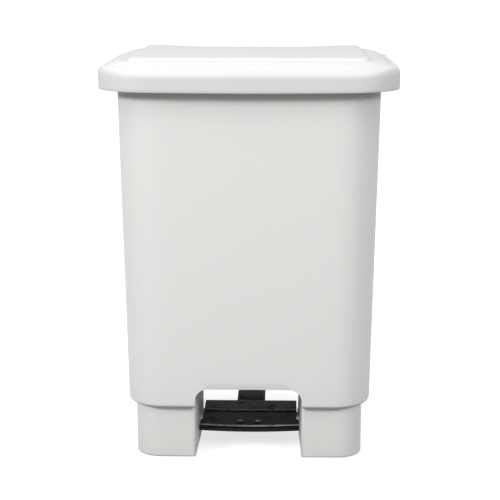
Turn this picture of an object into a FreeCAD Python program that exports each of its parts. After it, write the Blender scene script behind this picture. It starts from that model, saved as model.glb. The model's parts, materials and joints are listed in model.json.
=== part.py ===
import FreeCAD, Part
import math
import os
from FreeCAD import Vector

# Pedal trash can. Millimetres, +Z up, -Y is the front, origin on the floor under the middle of the lid.

# ---- overall sizes ----
TOTAL_HEIGHT = 440.0
LID_WIDTH = 320.0
LID_DEPTH = 276.0
TUB_TOP_WIDTH = 283.0
TUB_TOP_DEPTH = 242.0
TUB_BOTTOM_WIDTH = 268.0
TUB_BOTTOM_DEPTH = 229.0
TUB_FLOOR_Z = 60.0
WALL = 2.6

# ---- tub ----
RIM_BELOW_TOP = 16.0
TUB_TOP_RADIUS = 46.0
TUB_BOTTOM_RADIUS = 42.0
TUB_EDGE_RADIUS = 4.0
TUB_INNER_EDGE_RADIUS = 3.0
RIM_FLANGE = 4.0
RIM_THICK = 3.5
RIM_FLANGE_BACK_GAP = 13.0

# ---- tunnel under the tub, where the foot and the pedal go ----
TUNNEL_HALF_WIDTH = 58.5
TUNNEL_TOP_Z = 81.6
TUNNEL_CORNER = 14.0
THROAT_STEP_IN = 2.5
TUNNEL_THROAT = TUNNEL_HALF_WIDTH - THROAT_STEP_IN
TUNNEL_REAR_WIDENING = 7.5
TUNNEL_REAR_HALF_WIDTH = TUNNEL_HALF_WIDTH + TUNNEL_REAR_WIDENING
THROAT_LENGTH = 8.0
THROAT_PAST_BOSS = 1.0

# ---- legs ----
LEG_INSET = 4.7
LEG_RADIUS = 27.0
LEG_EDGE_RADIUS = 2.0
LEG_FLOOR = 4.5
LEG_INNER_RADIUS = 3.0
LEG_BOSS_RADIUS = 5.0
LEG_BOSS_OUT = 13.0
LEG_BOSS_FROM_END = 24.0

# ---- fasteners ----
SCREW_RADIUS = 2.0
SCREW_HEAD_RADIUS = 4.0
SCREW_HEAD_HEIGHT = 2.4
SCREW_LENGTH = 16.0
SCREW_HEAD_EDGE_RADIUS = 1.0
HOLE_PAST_TIP = 1.0
FIT_GAP = 0.05
RUNNING_GAP = 0.07

# ---- lid ----
SKIRT_HEIGHT = 34.0
LID_WALL = 2.5
LID_RADIUS = 50.0
DECK_DROP = 8.0
DECK_BOSS_DROP = 1.0
DECK_EDGE_RADIUS = 8.0
STEP_DROP = 3.0
STEP_SIDE_INSET = 22.0
STEP_FRONT_INSET = 15.0
STEP_SLOPE_SIDE = 12.0
STEP_SLOPE_FRONT = 2.0
STEP_RADIUS = 34.0
PLATEAU_SIDE_INSET = 34.0
PLATEAU_FRONT_INSET = 33.0
PLATEAU_BACK_INSET = 17.0
PLATEAU_RADIUS = 10.0
BACK_SKIRT_RAISE = 4.0
BACK_SKIRT_HALF_WIDTH = 104.0
BACK_SKIRT_CUT_DEPTH = 9.0
STEP_FLARE_RADIUS = 2.0
PLATEAU_FLARE_SIDE = 1.5
PLATEAU_FLARE_FRONT = 1.0

# ---- lid hinge ----
HINGE_BEHIND_TUB = 5.0
HINGE_BELOW_RIM = 11.0
HINGE_PIN_RADIUS = 2.5
HINGE_EAR_RADIUS = 5.0
HINGE_LUG_RADIUS = 4.3
HINGE_X = 75.0
HINGE_LUG_WIDTH = 8.0
HINGE_EAR_WIDTH = 9.0
HINGE_SIDE_GAP = 0.6
HINGE_GUSSET = 18.0
HINGE_PIN_HEAD_RADIUS = 3.7
HINGE_PIN_HEAD = 2.0
HINGE_PIN_OVERHANG = 1.0
LID_SWING = 72.0

# ---- crank and push rod ----
CRANK_ARM = 14.0
ROD_RADIUS = 2.0
ROD_BEND = 4.0
ROD_X = -5.0
CRANK_THICK = 4.0
CRANK_SLOT_HALF = 2.75
CRANK_SLOT_END_PLAY = 0.4
CRANK_RIM = 2.6
CRANK_FLANGE = 2.5
CRANK_FLANGE_HALF = 16.0
CRANK_FLANGE_FRONT = 14.0
CRANK_FLANGE_BACK = 5.0
CRANK_FLANGE_RADIUS = 3.0
CRANK_SCREW_X = 8.5
CRANK_SCREW_FRONT = 6.0
CRANK_SCREW_LENGTH = 6.0
CRANK_PAD_HALF = 20.0
CRANK_PAD_FRONT = 22.0
CRANK_PAD_BACK = 8.0
CRANK_NECK_FRONT = 12.0
CRANK_NECK_BACK = 3.0
CHANNEL_HALF_WIDTH = 13.0
CHANNEL_PLAY = 1.6
CAP_RADIUS = 4.0
CAP_THICK = 3.0
CAP_GAP = 0.6
CAP_EDGE_RADIUS = 0.8

# ---- pedal ----
PIVOT_Z = 15.5
TREAD_TOP_Z = 26.0
TREAD_THICK = 3.0
TREAD_SIDE_CLEARANCE = 4.5
TREAD_HALF_WIDTH = TUNNEL_HALF_WIDTH - TREAD_SIDE_CLEARANCE
TREAD_BACK_Y = 21.0
TREAD_FRONT_Y = -80.0
TREAD_FRONT_BOW = 5.0
TREAD_LIP_SIDE_CLEARANCE = 2.2
TREAD_LIP_HALF_WIDTH = TUNNEL_HALF_WIDTH - TREAD_LIP_SIDE_CLEARANCE
TREAD_LIP_DEPTH = 30.0
TREAD_LIP_DROP = 4.6
TREAD_RIB_HEIGHT = 1.0
TREAD_RIB_WIDTH = 4.0
TREAD_RIB_COUNT = 4
TREAD_RIB_GAP = 3.0
TREAD_BACK_RIB_FROM_BACK = 38.0
TREAD_LIP_THICK = 3.0
TREAD_SKIRT_THICK = 2.5
TREAD_SHOULDER = 4.0
LEVER_HALF_WIDTH = 16.5
LEVER_THICK = 3.0
LEVER_FRONT_Y = -66.0
LEVER_FLANGE_DEPTH = 9.5
LEVER_FLANGE_FRONT = -30.0
LEVER_FLANGE_BACK = 60.0
LEVER_TAB_THICK = 3.0
LEVER_TAB_LENGTH = 24.0
LEVER_TAB_ROUND = 5.0
LEVER_FLANGE_RAMP_FRONT = 12.0
LEVER_FLANGE_RAMP_BACK = 30.0
LEVER_BACK_FROM_ROD = 8.0
ROD_HOLE_Z = 12.0
ROD_HOLE_PLAY = 0.15
AXLE_RADIUS = 3.0
AXLE_OVERHANG = 4.0
BUSH_RADIUS = 5.0
BUSH_FLANGE_RADIUS = 7.0
BUSH_FLANGE = 1.0
AXLE_BOSS_HALF = 8.5
AXLE_BOSS_DEPTH = 12.0
AXLE_HOLE_PAST_BOSS = 1.0
CLIP_RADIUS = 5.5
CLIP_THICK = 1.2
CLIP_GAP = 0.6
CLIP_MOUTH_HALF = 2.2
RIVET_RADIUS = 2.2
RIVET_HEAD_RADIUS = 3.6
RIVET_HEAD = 1.0
RIVET_X = 10.0
RIVET_FROM_TREAD_BACK = 6.0
RIVET_FROM_LEVER_FRONT = 10.0

# ---- inner bucket ----
BUCKET_GAP = 4.0
BUCKET_WALL = 1.8
BUCKET_BELOW_RIM = 5.0
BUCKET_FLOOR_GAP = 0.2
BUCKET_RIM = 2.4
BUCKET_RIM_THICK = 3.0
BUCKET_GROOVE_PLAY = 2.5
GRIP_LENGTH = 84.0
GRIP_HEIGHT = 20.0
GRIP_RADIUS = 9.0
GRIP_BELOW_RIM = 16.0

# ---- rubber parts and guides ----
PAD_RADIUS = 9.0
PAD_THICK = 2.4
PAD_PROUD = 0.9
BUFFER_RADIUS = 3.5
BUFFER_GAP = 0.3
BUFFER_PIN = 2.0
BUFFER_THICK = 3.5
BUFFER_POST_WALL = 2.0
BUFFER_EDGE_RADIUS = 1.0
GUIDE_HEIGHT = 12.0
GUIDE_HALF_WIDTH = 6.0
GUIDE_WALL = 3.0
GUIDE_UPPER_BELOW_RIM = 90.0
GUIDE_LOWER_ABOVE_FLOOR = 45.0
GUIDE_TAB_HEIGHT = 12.0
GUIDE_TAB_THICK = 3.0
GUIDE_SCREW_LENGTH = 8.0
GUIDE_EDGE_RADIUS = 1.5

# ---- places that follow from the sizes above ----
RIM_Z = TOTAL_HEIGHT - RIM_BELOW_TOP
SKIRT_BOTTOM_Z = TOTAL_HEIGHT - SKIRT_HEIGHT
DECK_Z = TOTAL_HEIGHT - DECK_DROP
DECK_UNDER_Z = DECK_Z - LID_WALL - DECK_BOSS_DROP
STEP_Z = TOTAL_HEIGHT - STEP_DROP
HINGE_Y = TUB_TOP_DEPTH / 2 + HINGE_BEHIND_TUB
HINGE_Z = RIM_Z - HINGE_BELOW_RIM
ROD_Y = HINGE_Y - CRANK_ARM
HALF_SWING = math.radians(LID_SWING / 2)
ROD_TOP_Z = HINGE_Z - CRANK_ARM * math.tan(HALF_SWING)
ROD_TRAVEL = 2 * CRANK_ARM * math.tan(HALF_SWING)
SLOT_INNER = CRANK_ARM - CRANK_SLOT_END_PLAY
SLOT_OUTER = CRANK_ARM / math.cos(HALF_SWING) + CRANK_SLOT_END_PLAY
CRANK_TIP = SLOT_OUTER + CRANK_SLOT_HALF + CRANK_RIM
CHANNEL_Y = HINGE_Y - CRANK_TIP - CHANNEL_PLAY
LEG_WIDTH = TUB_BOTTOM_WIDTH - 2 * TUB_EDGE_RADIUS - 2 * LEG_INSET
LEG_DEPTH = TUB_BOTTOM_DEPTH - 2 * TUB_EDGE_RADIUS - 2 * LEG_INSET
LEVER_TOP_Z = TREAD_TOP_Z - TREAD_THICK
LEVER_UNDER_Z = LEVER_TOP_Z - LEVER_THICK
LEVER_BACK_Y = ROD_Y - LEVER_BACK_FROM_ROD
HOLE_BELOW_PIVOT = PIVOT_Z - ROD_HOLE_Z
ROD_END_HIGH = ROD_TRAVEL - HOLE_BELOW_PIVOT
ROD_END_REACH = math.hypot(ROD_Y, ROD_END_HIGH)
PEDAL_SWING = math.atan(ROD_END_HIGH / ROD_Y) + math.asin(HOLE_BELOW_PIVOT / ROD_END_REACH)
ROD_HOLE_SHIFT = math.sqrt(ROD_END_REACH ** 2 - HOLE_BELOW_PIVOT ** 2) - ROD_Y
AXLE_HALF = TUNNEL_THROAT + AXLE_BOSS_DEPTH + AXLE_OVERHANG
FAR = 1000.0
OVERCUT = 5.0
EMBED = 1.0
NEAR_ENOUGH = 0.01
X_AXIS = Vector(1, 0, 0)
Y_AXIS = Vector(0, 1, 0)
Z_AXIS = Vector(0, 0, 1)


def save(node, shape):
    """Write one node as a STEP file."""
    shape.exportStep("parts/" + node + ".step")


def box(x0, x1, y0, y1, z0, z1):
    return Part.makeBox(x1 - x0, y1 - y0, z1 - z0, Vector(x0, y0, z0))


def rounded_wire(half_x, half_y, radius, z, y_mid=0.0):
    """A rectangle with round corners, drawn at height z."""
    cx = half_x - radius
    cy = half_y - radius
    edges = []
    corners = [(cx, cy, 0), (-cx, cy, 90), (-cx, -cy, 180), (cx, -cy, 270)]
    for i, (x, y, start) in enumerate(corners):
        centre = Vector(x, y + y_mid, z)
        edges.append(Part.makeCircle(radius, centre, Z_AXIS, start, start + 90))
        nx, ny, turn = corners[(i + 1) % 4]
        a = math.radians(start + 90)
        tip = Vector(radius * math.cos(a), radius * math.sin(a), 0)
        edges.append(Part.makeLine(centre + tip, Vector(nx, ny + y_mid, z) + tip))
    return Part.Wire(Part.__sortEdges__(edges))


def rounded_prism(half_x, half_y, radius, z0, z1, y_mid=0.0):
    face = Part.Face(rounded_wire(half_x, half_y, radius, z0, y_mid))
    return face.extrude(Vector(0, 0, z1 - z0))


def rounded_loft(low, high):
    """A tapered block between two round-cornered rectangles, each (half_x, half_y, radius, z, y_mid)."""
    return Part.makeLoft([rounded_wire(*low), rounded_wire(*high)], True, True)


def prism(points, axis, start, end):
    """Extrude a closed outline given as 2-D points along X or Z."""
    if axis == "X":
        corners = [Vector(start, a, b) for a, b in points]
        reach = Vector(end - start, 0, 0)
    else:
        corners = [Vector(a, b, start) for a, b in points]
        reach = Vector(0, 0, end - start)
    return Part.Face(Part.makePolygon(corners + corners[:1])).extrude(reach)


def cylinder_x(radius, x0, x1, y, z):
    return Part.makeCylinder(radius, x1 - x0, Vector(x0, y, z), X_AXIS)


def cylinder_z(radius, x, y, z0, z1):
    return Part.makeCylinder(radius, z1 - z0, Vector(x, y, z0), Z_AXIS)


def slot_x(radius, x0, x1, a, b):
    """A round-ended slot along X between the centres a and b, given as (y, z)."""
    run = Vector(0, b[0] - a[0], b[1] - a[1])
    side = X_AXIS.cross(run).normalize() * radius
    low = Vector(x0, a[0], a[1])
    corners = [low + side, low - side, low - side + run, low + side + run]
    bar = Part.Face(Part.makePolygon(corners + corners[:1])).extrude(Vector(x1 - x0, 0, 0))
    ends = [cylinder_x(radius, x0, x1, a[0], a[1]), cylinder_x(radius, x0, x1, b[0], b[1])]
    return bar.multiFuse(ends).removeSplitter()


def screw(tip_length, at, direction):
    """A pan-head screw: `at` is under the head and `direction` is where the tip points."""
    shank = Part.makeCylinder(SCREW_RADIUS, tip_length, at, direction)
    head = Part.makeCylinder(SCREW_HEAD_RADIUS, SCREW_HEAD_HEIGHT, at, direction * -1)
    rim = [e for e in head.Edges if e.Closed and e.CenterOfMass.distanceToPoint(at) > SCREW_HEAD_HEIGHT / 2]
    return shank.fuse(head.makeFillet(SCREW_HEAD_EDGE_RADIUS, rim)).removeSplitter()


def half_at(z, top, bottom):
    """Half of a tub size at height z, on its straight taper."""
    share = (z - TUB_FLOOR_Z) / (RIM_Z - TUB_FLOOR_Z)
    return (bottom + (top - bottom) * share) / 2


def tub_section(z, inset):
    share = (z - TUB_FLOOR_Z) / (RIM_Z - TUB_FLOOR_Z)
    radius = TUB_BOTTOM_RADIUS + (TUB_TOP_RADIUS - TUB_BOTTOM_RADIUS) * share - inset
    half_x = half_at(z, TUB_TOP_WIDTH, TUB_BOTTOM_WIDTH) - inset
    half_y = half_at(z, TUB_TOP_DEPTH, TUB_BOTTOM_DEPTH) - inset
    return (half_x, half_y, radius, z)


def tunnel_block(grow):
    """The arched space through the tub's bottom, grown by a wall."""
    half = TUNNEL_HALF_WIDTH + grow
    top = TUNNEL_TOP_Z + grow
    block = box(-half, half, -FAR, FAR, 0, top)
    edges = [e for e in block.Edges if e.Length > FAR and e.CenterOfMass.z > top - NEAR_ENOUGH]
    return block.makeFillet(TUNNEL_CORNER + grow, edges)


def channel_block(grow, low_z, high_z):
    """The upright groove for the push rod in the back wall, grown by a wall."""
    half = CHANNEL_HALF_WIDTH + grow
    return box(-half, half, CHANNEL_Y - grow, FAR, low_z, high_z)


def leg_boss_places():
    places = []
    for x in (TUNNEL_REAR_HALF_WIDTH + WALL + EMBED + LEG_BOSS_RADIUS, LEG_WIDTH / 2 - LEG_BOSS_OUT):
        for y in (LEG_DEPTH / 2 - LEG_BOSS_FROM_END, -LEG_DEPTH / 2 + LEG_BOSS_FROM_END):
            places += [(x, y), (-x, y)]
    return places


def guide_places():
    return (RIM_Z - GUIDE_UPPER_BELOW_RIM, TUB_FLOOR_Z + GUIDE_LOWER_ABOVE_FLOOR)


def body_shell():
    block = rounded_loft(tub_section(TUB_FLOOR_Z, 0), tub_section(RIM_Z, 0))
    bottom_edges = [e for e in block.Edges if abs(e.BoundBox.ZMax - TUB_FLOOR_Z) < NEAR_ENOUGH]
    block = block.makeFillet(TUB_EDGE_RADIUS, bottom_edges)
    lip = rounded_prism(TUB_TOP_WIDTH / 2 + RIM_FLANGE, TUB_TOP_DEPTH / 2 + RIM_FLANGE,
                        TUB_TOP_RADIUS + RIM_FLANGE, RIM_Z - RIM_THICK, RIM_Z)
    lip = lip.cut(box(-FAR, FAR, TUB_TOP_DEPTH / 2 - RIM_FLANGE_BACK_GAP, FAR, 0, FAR))
    hollow = rounded_loft(tub_section(TUB_FLOOR_Z + WALL, WALL), tub_section(RIM_Z + OVERCUT, WALL))
    low_edges = [e for e in hollow.Edges if abs(e.BoundBox.ZMax - TUB_FLOOR_Z - WALL) < NEAR_ENOUGH]
    hollow = hollow.makeFillet(TUB_INNER_EDGE_RADIUS, low_edges)
    hollow = hollow.cut([tunnel_block(WALL), channel_block(WALL, 0, FAR)])
    shell = block.fuse(lip).cut(hollow)
    shell = shell.cut([tunnel_block(0), channel_block(0, 0, FAR)])
    return shell.fuse(hinge_ears()).cut(tub_holes()).removeSplitter()


def hinge_ears():
    """Two ears beside each lid lug, out from the back wall, with gussets that run down to it."""
    ears = []
    inner = HINGE_LUG_WIDTH / 2 + HINGE_SIDE_GAP
    wall_y = TUB_TOP_DEPTH / 2 - WALL / 2
    for side in (-1, 1):
        for a, b in ((inner, inner + HINGE_EAR_WIDTH), (-inner - HINGE_EAR_WIDTH, -inner)):
            x0 = side * HINGE_X + a
            x1 = side * HINGE_X + b
            web = [(wall_y, HINGE_Z + HINGE_EAR_RADIUS), (HINGE_Y, HINGE_Z + HINGE_EAR_RADIUS),
                   (HINGE_Y + HINGE_EAR_RADIUS, HINGE_Z), (wall_y, HINGE_Z - HINGE_GUSSET)]
            ears.append(prism(web, "X", x0, x1))
            ears.append(cylinder_x(HINGE_EAR_RADIUS, x0, x1, HINGE_Y, HINGE_Z))
    return ears


def tub_holes():
    holes = []
    for side in (-1, 1):
        reach = HINGE_LUG_WIDTH / 2 + HINGE_SIDE_GAP + HINGE_EAR_WIDTH + OVERCUT
        x = side * HINGE_X
        holes.append(cylinder_x(HINGE_PIN_RADIUS, x - reach, x + reach, HINGE_Y, HINGE_Z))
    for x, y in leg_boss_places():
        holes.append(cylinder_z(SCREW_RADIUS + FIT_GAP, x, y, TUB_FLOOR_Z - OVERCUT, TUB_FLOOR_Z + OVERCUT))
    for z in guide_places():
        tip = guide_screw_seat(z) - Y_AXIS * (GUIDE_SCREW_LENGTH + OVERCUT)
        holes.append(Part.makeCylinder(SCREW_RADIUS + FIT_GAP, GUIDE_SCREW_LENGTH + OVERCUT, tip, Y_AXIS))
    return holes


def tunnel_outline(grow):
    """Plan of the gap between the legs: a throat that narrows to the axle, then a wider rear part."""
    front = LEG_DEPTH / 2 + OVERCUT
    throat_y = AXLE_BOSS_HALF + THROAT_PAST_BOSS
    turn = throat_y + THROAT_LENGTH
    right = [(TUNNEL_HALF_WIDTH + grow, -front), (TUNNEL_THROAT + grow, 0),
             (TUNNEL_THROAT + grow, throat_y + grow),
             (TUNNEL_REAR_HALF_WIDTH + grow, turn + grow), (TUNNEL_REAR_HALF_WIDTH + grow, front)]
    return right + [(-x, y) for x, y in reversed(right)]


def legs():
    block = rounded_prism(LEG_WIDTH / 2, LEG_DEPTH / 2, LEG_RADIUS, PAD_PROUD, TUB_FLOOR_Z)
    low = [e for e in block.Edges if abs(e.BoundBox.ZMax - PAD_PROUD) < NEAR_ENOUGH]
    block = block.makeFillet(LEG_EDGE_RADIUS, low)
    block = block.cut(prism(tunnel_outline(0), "Z", -OVERCUT, FAR))
    upright = [e for e in block.Edges if e.BoundBox.ZLength > TUB_FLOOR_Z / 2]
    front = [e for e in upright if e.BoundBox.YMax < OVERCUT - LEG_DEPTH / 2]
    corners = [e for e in front if abs(e.CenterOfMass.x) < TUNNEL_HALF_WIDTH + EMBED]
    block = block.makeFillet(LEG_INNER_RADIUS, corners)
    hollow = rounded_prism(LEG_WIDTH / 2 - WALL, LEG_DEPTH / 2 - WALL, LEG_RADIUS - WALL,
                           PAD_PROUD + LEG_FLOOR, FAR)
    hollow = hollow.cut(prism(tunnel_outline(WALL), "Z", -OVERCUT, FAR))
    bosses = [cylinder_z(LEG_BOSS_RADIUS, x, y, PAD_PROUD, TUB_FLOOR_Z) for x, y in leg_boss_places()]
    for side in (-1, 1):
        xs = sorted((side * (TUNNEL_THROAT + EMBED), side * (TUNNEL_THROAT + AXLE_BOSS_DEPTH)))
        top = PIVOT_Z + AXLE_BOSS_HALF
        bosses.append(box(xs[0], xs[1], -AXLE_BOSS_HALF, AXLE_BOSS_HALF, PAD_PROUD + EMBED, top))
    body = block.cut(hollow.cut(bosses))
    reach = TUNNEL_THROAT + AXLE_BOSS_DEPTH + AXLE_HOLE_PAST_BOSS
    cuts = [cylinder_x(BUSH_RADIUS + FIT_GAP, -reach, reach, 0, PIVOT_Z)]
    for x, y in leg_boss_places():
        low_z = TUB_FLOOR_Z + WALL - SCREW_LENGTH - HOLE_PAST_TIP
        cuts.append(cylinder_z(SCREW_RADIUS + FIT_GAP, x, y, low_z, FAR))
    for x, y in pad_places():
        cuts.append(cylinder_z(PAD_RADIUS + FIT_GAP, x, y, -OVERCUT, PAD_THICK))
    body = body.cut(cuts).removeSplitter()
    return sorted(body.Solids, key=lambda s: s.CenterOfMass.x)


def pad_places():
    x = LEG_WIDTH / 2 - LEG_RADIUS
    y = LEG_DEPTH / 2 - LEG_RADIUS
    return [(x, y), (-x, y), (x, -y), (-x, -y)]


def foot_pads():
    return Part.makeCompound([cylinder_z(PAD_RADIUS, x, y, 0, PAD_THICK) for x, y in pad_places()])


def leg_screws():
    made = []
    for x, y in leg_boss_places():
        made.append(screw(SCREW_LENGTH, Vector(x, y, TUB_FLOOR_Z + WALL), Z_AXIS * -1))
    return Part.makeCompound(made)


def tread_outline(z):
    """Face of the foot plate: straight back and sides, a wider front with a bowed edge."""
    half = TREAD_HALF_WIDTH
    wide = TREAD_LIP_HALF_WIDTH
    side_y = TREAD_FRONT_Y + TREAD_FRONT_BOW
    step_y = side_y + TREAD_LIP_DEPTH
    shoulder_y = step_y - TREAD_SHOULDER
    points = [(-wide, side_y), (-wide, shoulder_y), (-half, step_y), (-half, TREAD_BACK_Y),
              (half, TREAD_BACK_Y), (half, step_y), (wide, shoulder_y), (wide, side_y)]
    corners = [Vector(x, y, z) for x, y in points]
    edges = [Part.makeLine(a, b) for a, b in zip(corners, corners[1:])]
    bow = Part.Arc(corners[-1], Vector(0, TREAD_FRONT_Y, z), corners[0]).toShape()
    return Part.Face(Part.Wire(edges + [bow]))


def pedal_tread():
    plate = tread_outline(LEVER_TOP_Z).extrude(Vector(0, 0, TREAD_THICK))
    lip_low = TREAD_TOP_Z - TREAD_LIP_DROP
    lip = tread_outline(lip_low).extrude(Vector(0, 0, TREAD_TOP_Z - lip_low))
    lip_y = TREAD_FRONT_Y + TREAD_FRONT_BOW + TREAD_LIP_THICK
    lip = lip.common(box(-FAR, FAR, -FAR, lip_y, 0, FAR))
    ribs = []
    length = (2 * TREAD_HALF_WIDTH - TREAD_RIB_GAP * (TREAD_RIB_COUNT + 1)) / TREAD_RIB_COUNT
    for y in (TREAD_BACK_Y - TREAD_BACK_RIB_FROM_BACK, lip_y):
        for i in range(TREAD_RIB_COUNT):
            x = -TREAD_HALF_WIDTH + TREAD_RIB_GAP + i * (length + TREAD_RIB_GAP)
            ribs.append(box(x, x + length, y, y + TREAD_RIB_WIDTH, TREAD_TOP_Z - EMBED,
                            TREAD_TOP_Z + TREAD_RIB_HEIGHT))
    skirts = []
    for side in (-1, 1):
        xs = sorted((side * TREAD_HALF_WIDTH, side * (TREAD_HALF_WIDTH - TREAD_SKIRT_THICK)))
        skirts.append(box(xs[0], xs[1], TREAD_FRONT_Y + TREAD_FRONT_BOW, TREAD_BACK_Y,
                          lip_low, TREAD_TOP_Z - EMBED))
    tread = plate.multiFuse([lip] + ribs + skirts)
    return tread.cut(rivet_shanks(FIT_GAP)).removeSplitter()


def rivet_places():
    back = TREAD_BACK_Y - RIVET_FROM_TREAD_BACK
    front = LEVER_FRONT_Y + RIVET_FROM_LEVER_FRONT
    return [(x, y) for x in (-RIVET_X, RIVET_X) for y in (back, front)]


def rivet_shanks(grow):
    return [cylinder_z(RIVET_RADIUS + grow, x, y, LEVER_UNDER_Z, TREAD_TOP_Z) for x, y in rivet_places()]


def lever_rivets():
    made = []
    for (x, y), shank in zip(rivet_places(), rivet_shanks(0)):
        low = cylinder_z(RIVET_HEAD_RADIUS, x, y, LEVER_UNDER_Z - RIVET_HEAD, LEVER_UNDER_Z)
        high = cylinder_z(RIVET_HEAD_RADIUS, x, y, TREAD_TOP_Z, TREAD_TOP_Z + RIVET_HEAD)
        made.append(shank.multiFuse([low, high]).removeSplitter())
    return Part.makeCompound(made)


def pedal_lever():
    """A pressed channel under the foot plate, with a tab behind it that the push rod hooks into."""
    half = LEVER_HALF_WIDTH
    web = box(-half, half, LEVER_FRONT_Y, LEVER_BACK_Y, LEVER_UNDER_Z, LEVER_TOP_Z)
    pieces = []
    low = LEVER_UNDER_Z - LEVER_FLANGE_DEPTH
    for x0, x1 in ((-half, LEVER_THICK - half), (half - LEVER_THICK, half)):
        front = LEVER_FLANGE_FRONT + LEVER_FLANGE_RAMP_FRONT
        back = LEVER_FLANGE_BACK - LEVER_FLANGE_RAMP_BACK
        outline = [(LEVER_FLANGE_FRONT, LEVER_UNDER_Z + EMBED), (front, low), (back, low),
                   (LEVER_FLANGE_BACK, LEVER_UNDER_Z + EMBED)]
        pieces.append(prism(outline, "X", x0, x1))
    tab_y = LEVER_BACK_Y - LEVER_TAB_LENGTH
    tab_end = ROD_Y + LEVER_TAB_ROUND
    tab = [(tab_y, LEVER_TOP_Z), (tab_y, LEVER_UNDER_Z), (LEVER_BACK_Y, ROD_HOLE_Z - LEVER_TAB_ROUND),
           (tab_end, ROD_HOLE_Z - LEVER_TAB_ROUND), (tab_end + 2 * EMBED, ROD_HOLE_Z),
           (tab_end - EMBED, LEVER_UNDER_Z), (LEVER_BACK_Y, LEVER_TOP_Z)]
    pieces.append(prism(tab, "X", 0, LEVER_TAB_THICK))
    lever = web.multiFuse(pieces)
    far_y = ROD_Y + ROD_HOLE_SHIFT + ROD_HOLE_PLAY
    cuts = [cylinder_x(AXLE_RADIUS + FIT_GAP, -FAR, FAR, 0, PIVOT_Z)]
    cuts.append(slot_x(ROD_RADIUS + ROD_HOLE_PLAY, -OVERCUT, LEVER_TAB_THICK + OVERCUT,
                       (ROD_Y - ROD_HOLE_PLAY, ROD_HOLE_Z), (far_y, ROD_HOLE_Z)))
    return lever.cut(cuts + rivet_shanks(FIT_GAP)).removeSplitter()


def pedal_axle():
    return cylinder_x(AXLE_RADIUS, -AXLE_HALF, AXLE_HALF, 0, PIVOT_Z)


def axle_bushes():
    made = []
    for side in (-1, 1):
        outer = side * (TUNNEL_THROAT + AXLE_BOSS_DEPTH)
        inner = side * TUNNEL_THROAT
        face = side * (TUNNEL_THROAT - BUSH_FLANGE)
        sleeve = cylinder_x(BUSH_RADIUS, *sorted((inner, outer)), 0, PIVOT_Z)
        flange = cylinder_x(BUSH_FLANGE_RADIUS, *sorted((face, inner)), 0, PIVOT_Z)
        bore = cylinder_x(AXLE_RADIUS + RUNNING_GAP, *sorted((face - side, outer + side)), 0, PIVOT_Z)
        made.append(sleeve.fuse(flange).cut(bore).removeSplitter())
    return Part.makeCompound(made)


def axle_clips():
    made = []
    for side in (-1, 1):
        near = side * (TUNNEL_THROAT + AXLE_BOSS_DEPTH + CLIP_GAP)
        far = near + side * CLIP_THICK
        disc = cylinder_x(CLIP_RADIUS, *sorted((near, far)), 0, PIVOT_Z)
        bore = cylinder_x(AXLE_RADIUS, *sorted((near - side, far + side)), 0, PIVOT_Z)
        xs = sorted((near - side, far + side))
        mouth = box(xs[0], xs[1], -CLIP_MOUTH_HALF, CLIP_MOUTH_HALF, 0, PIVOT_Z)
        made.append(disc.cut([bore, mouth]))
    return Part.makeCompound(made)


def rod_elbow(z, up):
    """The quarter bend and the level end of the rod, at the top (up = 1) or the bottom (up = -1)."""
    mid = Vector(ROD_X + ROD_BEND, ROD_Y, z - up * ROD_BEND)
    start = Vector(ROD_X, ROD_Y, z - up * ROD_BEND)
    half = Vector(-math.cos(math.pi / 4), 0, up * math.sin(math.pi / 4)) * ROD_BEND
    end = Vector(ROD_X + ROD_BEND, ROD_Y, z)
    path = Part.Wire([Part.Arc(start, mid + half, end).toShape()])
    ring = Part.Wire([Part.makeCircle(ROD_RADIUS, start, Z_AXIS)])
    bend = path.makePipeShell([ring], True, False)
    return bend.fuse(cylinder_x(ROD_RADIUS, end.x, rod_end_x(), ROD_Y, z))


def rod_end_x():
    return CRANK_THICK + 2 * CAP_GAP + CAP_THICK


def push_rod():
    shaft = cylinder_z(ROD_RADIUS, ROD_X, ROD_Y, ROD_HOLE_Z + ROD_BEND, ROD_TOP_Z - ROD_BEND)
    return shaft.multiFuse([rod_elbow(ROD_TOP_Z, 1), rod_elbow(ROD_HOLE_Z, -1)]).removeSplitter()


def rod_caps():
    made = []
    for z, x in ((ROD_TOP_Z, CRANK_THICK + CAP_GAP), (ROD_HOLE_Z, LEVER_TAB_THICK + CAP_GAP)):
        cap = cylinder_x(CAP_RADIUS, x, x + CAP_THICK, ROD_Y, z)
        rim = [e for e in cap.Edges if e.Closed and e.CenterOfMass.x > x + CAP_THICK / 2]
        cap = cap.makeFillet(CAP_EDGE_RADIUS, rim)
        made.append(cap.cut(cylinder_x(ROD_RADIUS + FIT_GAP / 2, x - 1, FAR, ROD_Y, z)))
    return Part.makeCompound(made)


def rod_guide(z):
    """A block in the groove that the rod slides through, with a tab above it for its screw."""
    back = ROD_Y + ROD_RADIUS + GUIDE_WALL
    x0 = ROD_X - GUIDE_HALF_WIDTH
    half_h = GUIDE_HEIGHT / 2
    block = box(x0, -x0, CHANNEL_Y, back, z - half_h, z + half_h)
    edges = [e for e in block.Edges if abs(e.CenterOfMass.y - back) < NEAR_ENOUGH]
    block = block.makeFillet(GUIDE_EDGE_RADIUS, edges)
    tab = box(x0, -x0, CHANNEL_Y, CHANNEL_Y + GUIDE_TAB_THICK, z, z + half_h + GUIDE_TAB_HEIGHT)
    guide = block.fuse(tab)
    bore = cylinder_z(ROD_RADIUS + RUNNING_GAP, ROD_X, ROD_Y, z - GUIDE_HEIGHT, z + GUIDE_HEIGHT)
    tip = guide_screw_seat(z) - Y_AXIS * (GUIDE_SCREW_LENGTH + OVERCUT)
    hole = Part.makeCylinder(SCREW_RADIUS + FIT_GAP, GUIDE_SCREW_LENGTH + 2 * OVERCUT, tip, Y_AXIS)
    return guide.cut([bore, hole]).removeSplitter()


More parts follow.
